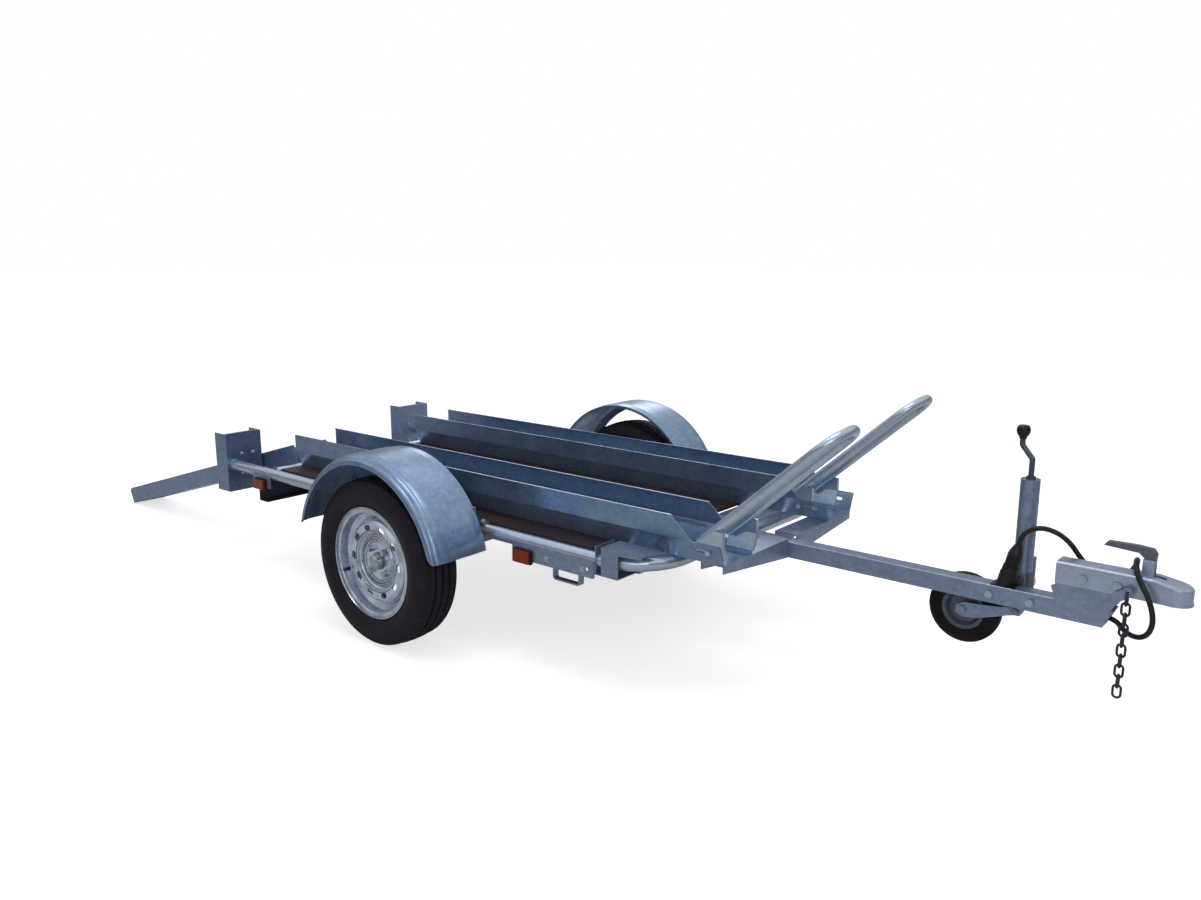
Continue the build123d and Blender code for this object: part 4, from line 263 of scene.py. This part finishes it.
def tyre_rubber(name, centre_y):
    """Dark rubber with tread blocks, shoulder slots and fine rings on the sidewall."""
    rubber = Surface(name, Specular_IOR_Level=0.18)
    angle, radius, aside = wheel_angles(rubber, centre_y)
    dust = rubber.noise(26, 5, 0.6)
    rubber.set("Base Color", rubber.ramp(dust, (0.25, (0.007, 0.006, 0.010)), (0.8, (0.022, 0.019, 0.028))))
    rubber.set("Roughness", rubber.range(dust, 0.3, 0.7, 0.48, 0.68))
    slant = rubber.math("MULTIPLY", aside, 26)
    blocks = rubber.math("SINE", rubber.math("ADD", rubber.math("MULTIPLY", angle, 66), slant))
    cut = rubber.range(blocks, 0.72, 0.9, 1, 0)
    tread = rubber.math("GREATER_THAN", radius, TREAD_R)
    rubber.bump(rubber.math("MULTIPLY", cut, tread), 0.004, 0.9)
    rings = rubber.math("SINE", rubber.math("MULTIPLY", radius, 1500))
    rubber.bump(rubber.math("MULTIPLY", rings, rubber.between(radius, *SIDEWALL_RINGS_R)), 0.0005, 0.7)
    rubber.bump(rubber.noise(700, 2), 0.0002, 0.4)
    return rubber.material


# Rim lacquer: silver with stepped rings round the hub, mottled and darker towards the edge
lacquer = Surface("rim_lacquer", Metallic=0.78)
angle, radius, aside = wheel_angles(lacquer, 0.0)
mottle_darker_outwards = lacquer.math("MULTIPLY", lacquer.noise(22, 5), lacquer.range(radius, 0.05, 0.18, 1.0, 0.75))
lacquer.set("Base Color", lacquer.ramp(mottle_darker_outwards, (0.12, (0.300, 0.345, 0.430)), (0.50, (0.620, 0.680, 0.790))))
lacquer.set("Roughness", lacquer.range(lacquer.noise(55, 3), 0.3, 0.7, 0.20, 0.30))
rings = lacquer.math("SINE", lacquer.math("MULTIPLY", radius, 430))
lacquer.bump(lacquer.math("MULTIPLY", rings, lacquer.between(radius, *DISC_RINGS_R)), 0.005, 1.0)
lacquer.bump(lacquer.noise(420, 2), 0.00008, 0.4)

# Film-faced plywood: dark brown phenolic film with a fine wire-mesh print and scuffs
film = Surface("film_plywood", IOR=1.5)
x, y, z = film.split()
mesh_lines = film.math("MULTIPLY", film.math("SINE", film.math("MULTIPLY", x, 900)),
                       film.math("SINE", film.math("MULTIPLY", y, 900)))
scuff = film.noise(7, 6, 0.65, film.stretch((0.35, 1.6, 1)))
film.set("Base Color", film.ramp(scuff, (0.3, (0.018, 0.010, 0.010)), (0.62, (0.036, 0.018, 0.015)),
                                 (0.85, (0.080, 0.048, 0.040))))
film.set("Roughness", film.range(scuff, 0.3, 0.8, 0.34, 0.6))
film.bump(mesh_lines, 0.0002, 0.5)


def lens(name, deep, pale, ribs):
    """A coloured lens, moulded in small prisms and lit from its inner faces."""
    glass = Surface(name, Roughness=0.16, IOR=1.49, Specular_IOR_Level=0.3)
    x, y, z = glass.split()
    prism = glass.math("MULTIPLY", glass.math("SINE", glass.math("MULTIPLY", glass.math("ADD", x, y), ribs)),
                       glass.math("SINE", glass.math("MULTIPLY", z, ribs)))
    glass.set("Base Color", glass.ramp(prism, (0.2, deep), (0.8, pale)))
    glass.bump(prism, 0.0006, 0.6)
    glass.set("Coat Weight", 0.15)
    return glass.material


amber = lens("amber_lens", (0.20, 0.018, 0.003), (0.36, 0.045, 0.006), 1250)
red = lens("red_lens", (0.20, 0.004, 0.006), (0.42, 0.010, 0.012), 1100)

finishes = {
    zinc_sheet: ("rail_right", "rail_left", "mudguard_right", "mudguard_left", "lamp_board_right",
                 "lamp_board_left", "ramp"),
    zinc_frame: ("crossmember_front", "outriggers",
                 "drawbar", "side_plates", "lashing_loops", "mudguard_brackets", "coupling_bracket",
                 "jockey_outer_tube", "jockey_inner_tube", "jockey_fork", "deck_bearers", "axle_beam"),
    zinc_tube: ("wheel_hoop_right", "wheel_hoop_left", "side_tube_right", "side_tube_left",
                "rear_cross_tube"),
    zinc_low: ("jockey_rim",),
    zinc_dull: ("crossmember_rear",),
    zinc_bright: ("deck_bolts", "drawbar_bolts", "wheel_bolts_right", "wheel_bolts_left", "dust_cap_right",
                  "dust_cap_left", "clamp_lever"),
    zinc_cast: ("coupling_housing",),
    steel_rod: ("jockey_crank",),
    steel_dark: ("wheel_bearing_right", "wheel_bearing_left", "safety_chain_upper", "safety_chain_lower",
                 "coupling_jaw"),
    steel_forged: ("suspension_arm_right", "suspension_arm_left", "hub_right", "hub_left", "jockey_clamp"),
    steel_grip: ("coupling_handle",),
    lacquer.material: ("rim_right", "rim_left"),
    castor_rubber: ("jockey_tyre",),
    black_moulding: ("side_markers", "tail_lamps", "trailer_plug", "plug_holder"),
    black_smooth: ("crank_knob",),
    amber: ("side_marker_lenses",),
    red: ("tail_lamp_lenses",),
    film.material: ("deck_board",),
}
for material, names in finishes.items():
    for name in names:
        nodes[name].data.materials.clear()
        nodes[name].data.materials.append(material)
for side, hand in SIDES:
    tyre = nodes[f"tyre_{hand}"]
    tyre.data.materials.clear()
    tyre.data.materials.append(tyre_rubber(f"tyre_rubber_{hand}", side * WHEEL_Y))
for node in nodes.values():
    node.data.shade_smooth()
    node.data.set_sharp_from_angle(angle=SHARP_ANGLE)


# Cable: its route as one smooth spline, in millimetres ahead of the axle, to the left and up
cable_route = [
    (1959, 0, 376), (1994, 0, 376), (2022, -12, 352), (2050, -26, 348), (2075, -40, 363), (2087, -50, 395),
    (2084, -55, 430), (2069, -54, 468), (2045, -47, 502), (2031, -20, 530), (2026, 21, 530), (2020, 50, 505),
    (1999, 60, 469), (1958, 59, 453), (1918, 56, 467), (1892, 46, 498), (1869, 37, 533), (1842, 24, 557),
    (1809, 11, 568), (1781, 3, 561), (1761.1, 0, 542.3), (1755, 0, 516),
]
cable_data = bpy.data.curves.new("cable", "CURVE")
cable_data.dimensions = "3D"
spline = cable_data.splines.new("NURBS")
spline.points.add(len(cable_route) - 1)
for point, (x, y, z) in zip(spline.points, cable_route):
    point.co = (from_axle(x), y / 1000, z / 1000, 1)
spline.order_u = 3
spline.use_endpoint_u = True
spline.resolution_u = 16
cable_data.bevel_depth = 0.0065
cable_data.bevel_resolution = 6
cable_data.use_fill_caps = True
cable_data.materials.append(sheath)
cable = bpy.data.objects.new("cable", cable_data)
scene.collection.objects.link(cable)
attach(cable, "frame")
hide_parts("trailer_cable")


# Mesh tools for the fittings, each set of which is one mesh on its body
def turned(direction):
    """Rotation that takes +Z to this direction."""
    return Vector(direction).to_track_quat("Z", "X").to_matrix().to_4x4()


def add_ring(mesh, place, direction, profile, sides):
    """Turns a profile of (radius, height) round an axis, capped where the radius is 0."""
    frame_matrix = Matrix.Translation(place) @ turned(direction)
    loops = []
    for radius, height in profile:
        count = sides if radius > 0 else 1
        loops.append([
            mesh.verts.new(frame_matrix @ Vector((
                radius * cos(2 * pi * step / sides), radius * sin(2 * pi * step / sides), height)))
            for step in range(count)
        ])
    for low, high in zip(loops, loops[1:]):
        for step in range(sides):
            after = (step + 1) % sides
            if len(low) == 1:
                mesh.faces.new((low[0], high[after], high[step]))
            elif len(high) == 1:
                mesh.faces.new((low[step], low[after], high[0]))
            else:
                mesh.faces.new((low[step], low[after], high[after], high[step]))


def add_bolt(mesh, place, direction, size):
    """A hexagon head of this size across its corners, with its washer, seated at place."""
    washer_r, washer_t = size * 0.68, size * 0.11
    add_ring(mesh, place, direction, ((0, 0), (washer_r, 0), (washer_r, washer_t), (0, washer_t)), 20)
    head = Vector(place) + Vector(direction).normalized() * washer_t
    add_ring(mesh, head, direction, (
        (0, 0), (size * 0.5, 0), (size * 0.5, size * 0.30), (size * 0.43, size * 0.36), (0, size * 0.36)), 6)


def finish_mesh(name, mesh, material, body):
    """The mesh becomes a piece that rides on a body."""
    bmesh.ops.recalc_face_normals(mesh, faces=mesh.faces)
    data = bpy.data.meshes.new(name)
    mesh.to_mesh(data)
    mesh.free()
    data.materials.append(material)
    data.shade_smooth()
    data.set_sharp_from_angle(angle=SHARP_ANGLE)
    piece = bpy.data.objects.new(name, data)
    scene.collection.objects.link(piece)
    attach(piece, body)
    return piece


def circle_points(centre, axis, radius, count):
    matrix = Matrix.Translation(centre) @ turned(axis)
    return [matrix @ Vector((radius * cos(2 * pi * k / count), radius * sin(2 * pi * k / count), 0))
            for k in range(count)]


def add_bead(mesh, centre, axis, bend_r, radius, sides=8):
    """A weld bead round a tube: a small closed tube with the scales of a hand weld."""
    points = circle_points(centre, axis, bend_r, 40)
    rings = []
    for index, point in enumerate(points):
        along = points[(index + 1) % len(points)] - points[index - 1]
        size = radius * (1.0 + 0.16 * sin(index * 2.1))
        rings.append([mesh.verts.new(place) for place in circle_points(point, along, size, sides)])
    for low, high in zip(rings, rings[1:] + rings[:1]):
        for k in range(sides):
            mesh.faces.new((low[k], low[(k + 1) % sides], high[(k + 1) % sides], high[k]))


def add_strip(mesh, start, end, out, up, depth, height):
    """A rounded strip from start to end, proud by depth and this high."""
    start, end, out, up = Vector(start), Vector(end), Vector(out), Vector(up)
    section = ((0, -0.5), (0.7, -0.5), (1, -0.3), (1, 0.3), (0.7, 0.5), (0, 0.5))
    rings = [[mesh.verts.new(place + out * depth * a + up * height * b) for a, b in section]
             for place in (start, end)]
    for k in range(len(section)):
        after = (k + 1) % len(section)
        mesh.faces.new((rings[0][k], rings[0][after], rings[1][after], rings[1][k]))
    mesh.faces.new(rings[0])
    mesh.faces.new(rings[1][::-1])


# Bolts on the frame: lamp boards, mudguard brackets and the lashing loops' plates
bolts = bmesh.new()
for side, hand in SIDES:
    board_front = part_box(f"lamp_board_{hand}")[1][0]
    for y, z in ((455, 430), (405, 430), (455, 350), (405, 350)):
        add_bolt(bolts, (board_front, side * y / 1000, z / 1000), (1, 0, 0), 0.013)
    for x in (288, -262):
        for rise in (0.036, 0.052):
            add_bolt(bolts, (from_axle(x), side * BRACKET_Y, BRACKET_Z + rise), (0, -side, 0), 0.013)
        add_bolt(bolts, (from_axle(x), side * TUBE_Y, BRACKET_Z + 0.004), (0, 0, 1), 0.015)
    for x in (585, 725):
        add_bolt(bolts, (from_axle(x), side * 0.5152, 0.361), (0, side, 0), 0.016)
finish_mesh("frame_bolts", bolts, zinc_bright, "frame")

# Welds: where the tubes meet the drawbar, the cross tube and the lamp boards
welds = bmesh.new()
for side, hand in SIDES:
    add_bead(welds, (from_axle(935), side * 0.0262, TUBE_Z), (0, 1, 0), TUBE_R + 0.0002, 0.0022)
    add_bead(welds, (from_axle(-900), side * 0.4675, TUBE_Z), (0, 1, 0), TUBE_R, 0.0020)
    add_bead(welds, (from_axle(-1158.8), side * TUBE_Y, TUBE_Z), (1, 0, 0), TUBE_R + 0.0002, 0.0020)
finish_mesh("weld_beads", welds, zinc_frame, "frame")

# Hems: a folded strip along the crease of each rail's two wings, in bright plated zinc as a painted highlight
# along the crease
hems = bmesh.new()
for side, hand in SIDES:
    for wing in (-1, 1):
        crease_y = side * RAIL_Y + wing * RAIL_CREASE_Y
        add_strip(hems, (from_axle(-862), crease_y, RAIL_CREASE_Z), (from_axle(930), crease_y, RAIL_CREASE_Z),
                  (0, wing, 0), (0, 0, 1), 0.0032, 0.008)
# The bright plated zinc on the hems is a painted highlight
finish_mesh("rail_hems", hems, zinc_bright, "frame")

# Plug: grip rings round its barrel
ribs = bmesh.new()
plug_axis = Vector((sin(PLUG_LEAN), 0, cos(PLUG_LEAN)))
for along in (0.022, 0.029, 0.036, 0.043, 0.050):
    add_ring(ribs, Vector(PLUG_FOOT) + plug_axis * along, plug_axis, (
        (0, -0.0018), (0.0168, -0.0018), (0.0186, -0.0010),
        (0.0186, 0.0010), (0.0168, 0.0018), (0, 0.0018)), 36)
finish_mesh("plug_ribs", ribs, black_moulding, "frame")

# Tyre valves: a rubber stem through each rim
valve_angle = radians(200)
valve_x = AXLE_X + VALVE_R * cos(valve_angle)
valve_z = WHEEL_Z + VALVE_R * sin(valve_angle)
for side, hand in SIDES:
    valve = bmesh.new()
    add_ring(valve, (valve_x, side * (RIM_FACE_Y - 0.012), valve_z), (0, side, 0), (
        (0, -0.012), (0.0062, -0.012), (0.0055, -0.002), (0.0042, 0.004), (0.0042, 0.012), (0, 0.012)), 16)
    finish_mesh(f"valve_{hand}", valve, black_moulding, f"wheel_{hand}")

# Studio floor: pale, and blending into the white surround away from the object
floor_mesh = bpy.data.meshes.new("floor")
floor_mesh.from_pydata([(-40, -40, 0), (40, -40, 0), (40, 40, 0), (-40, 40, 0)], [], [(0, 1, 2, 3)])
floor = bpy.data.objects.new("floor", floor_mesh)
floor.location.z = -0.0005
scene.collection.objects.link(floor)
pale = Surface("floor_paper", Roughness=0.9)
seen = pale.tree.nodes.new("ShaderNodeLightPath").outputs["Is Camera Ray"]
x, y, z = pale.split()
far = pale.math("MULTIPLY", seen, pale.range(pale.length(x, y), 2.6, 6.0))
pale.set("Base Color", pale.mix(far, (0.86, 0.86, 0.86), (0, 0, 0)))
pale.set("Emission Color", (1, 1, 1))
pale.set("Emission Strength", pale.math("MULTIPLY_ADD", far, 0.32, pale.math("MULTIPLY", seen, 0.68)))
floor_mesh.materials.append(pale.material)

# Surround: white to the camera, dimmer and graded by height to the object's lighting and reflections
world = bpy.data.worlds.new("surround")
scene.world = world
world.use_nodes = True
sky = world.node_tree
sky.nodes.clear()
rays = sky.nodes.new("ShaderNodeLightPath")
direct = sky.nodes.new("ShaderNodeMath")
direct.operation = "MAXIMUM"
sky.links.new(rays.outputs["Is Camera Ray"], direct.inputs[0])
sky.links.new(rays.outputs["Is Transmission Ray"], direct.inputs[1])
heading = sky.nodes.new("ShaderNodeTexCoord")
parts = sky.nodes.new("ShaderNodeSeparateXYZ")
sky.links.new(heading.outputs["Generated"], parts.inputs[0])
ambient = sky.nodes.new("ShaderNodeMapRange")
sky.links.new(rays.outputs["Is Glossy Ray"], ambient.inputs["Value"])
for socket, stops in (
    ("To Min", ((0.1, 0.66), (0.75, 0.24))),
    ("To Max", ((0.28, 0.28), (0.45, 0.85), (0.80, 1.0), (0.98, 0.45))),
):
    fade = colour_ramp(sky, *((position, (value, value, value)) for position, value in stops))
    sky.links.new(parts.outputs["Z"], fade.inputs[0])
    sky.links.new(fade.outputs[0], ambient.inputs[socket])
level = sky.nodes.new("ShaderNodeMapRange")
level.inputs["To Max"].default_value = 1.0
sky.links.new(direct.outputs[0], level.inputs["Value"])
sky.links.new(ambient.outputs[0], level.inputs["To Min"])
back = sky.nodes.new("ShaderNodeBackground")
back.inputs["Color"].default_value = (1, 1, 1, 1)
sky.links.new(level.outputs[0], back.inputs["Strength"])
out = sky.nodes.new("ShaderNodeOutputWorld")
sky.links.new(back.outputs[0], out.inputs[0])


def softbox(name, place, aim, size, power):
    lamp = bpy.data.lights.new(name, "AREA")
    lamp.shape = "RECTANGLE"
    lamp.size, lamp.size_y = size
    lamp.energy = power
    holder = bpy.data.objects.new(name, lamp)
    holder.location = place
    holder.rotation_euler = (Vector(aim) - Vector(place)).to_track_quat("-Z", "Y").to_euler()
    scene.collection.objects.link(holder)


softbox("overhead", (0.3, 0.4, 4.2), (0.1, 0, 0.3), (5.5, 3.5), 26)
softbox("key", (0.9, -0.9, 4.0), (0.2, 0, 0.3), (2.2, 0.9), 30)
softbox("front_fill", (3.6, -3.4, 1.9), (0.6, 0, 0.3), (2.4, 1.6), 26)
softbox("back_edge", (-2.5, 3.6, 2.4), (0, 0, 0.4), (3.0, 1.2), 24)

scene.view_settings.view_transform = "Standard"
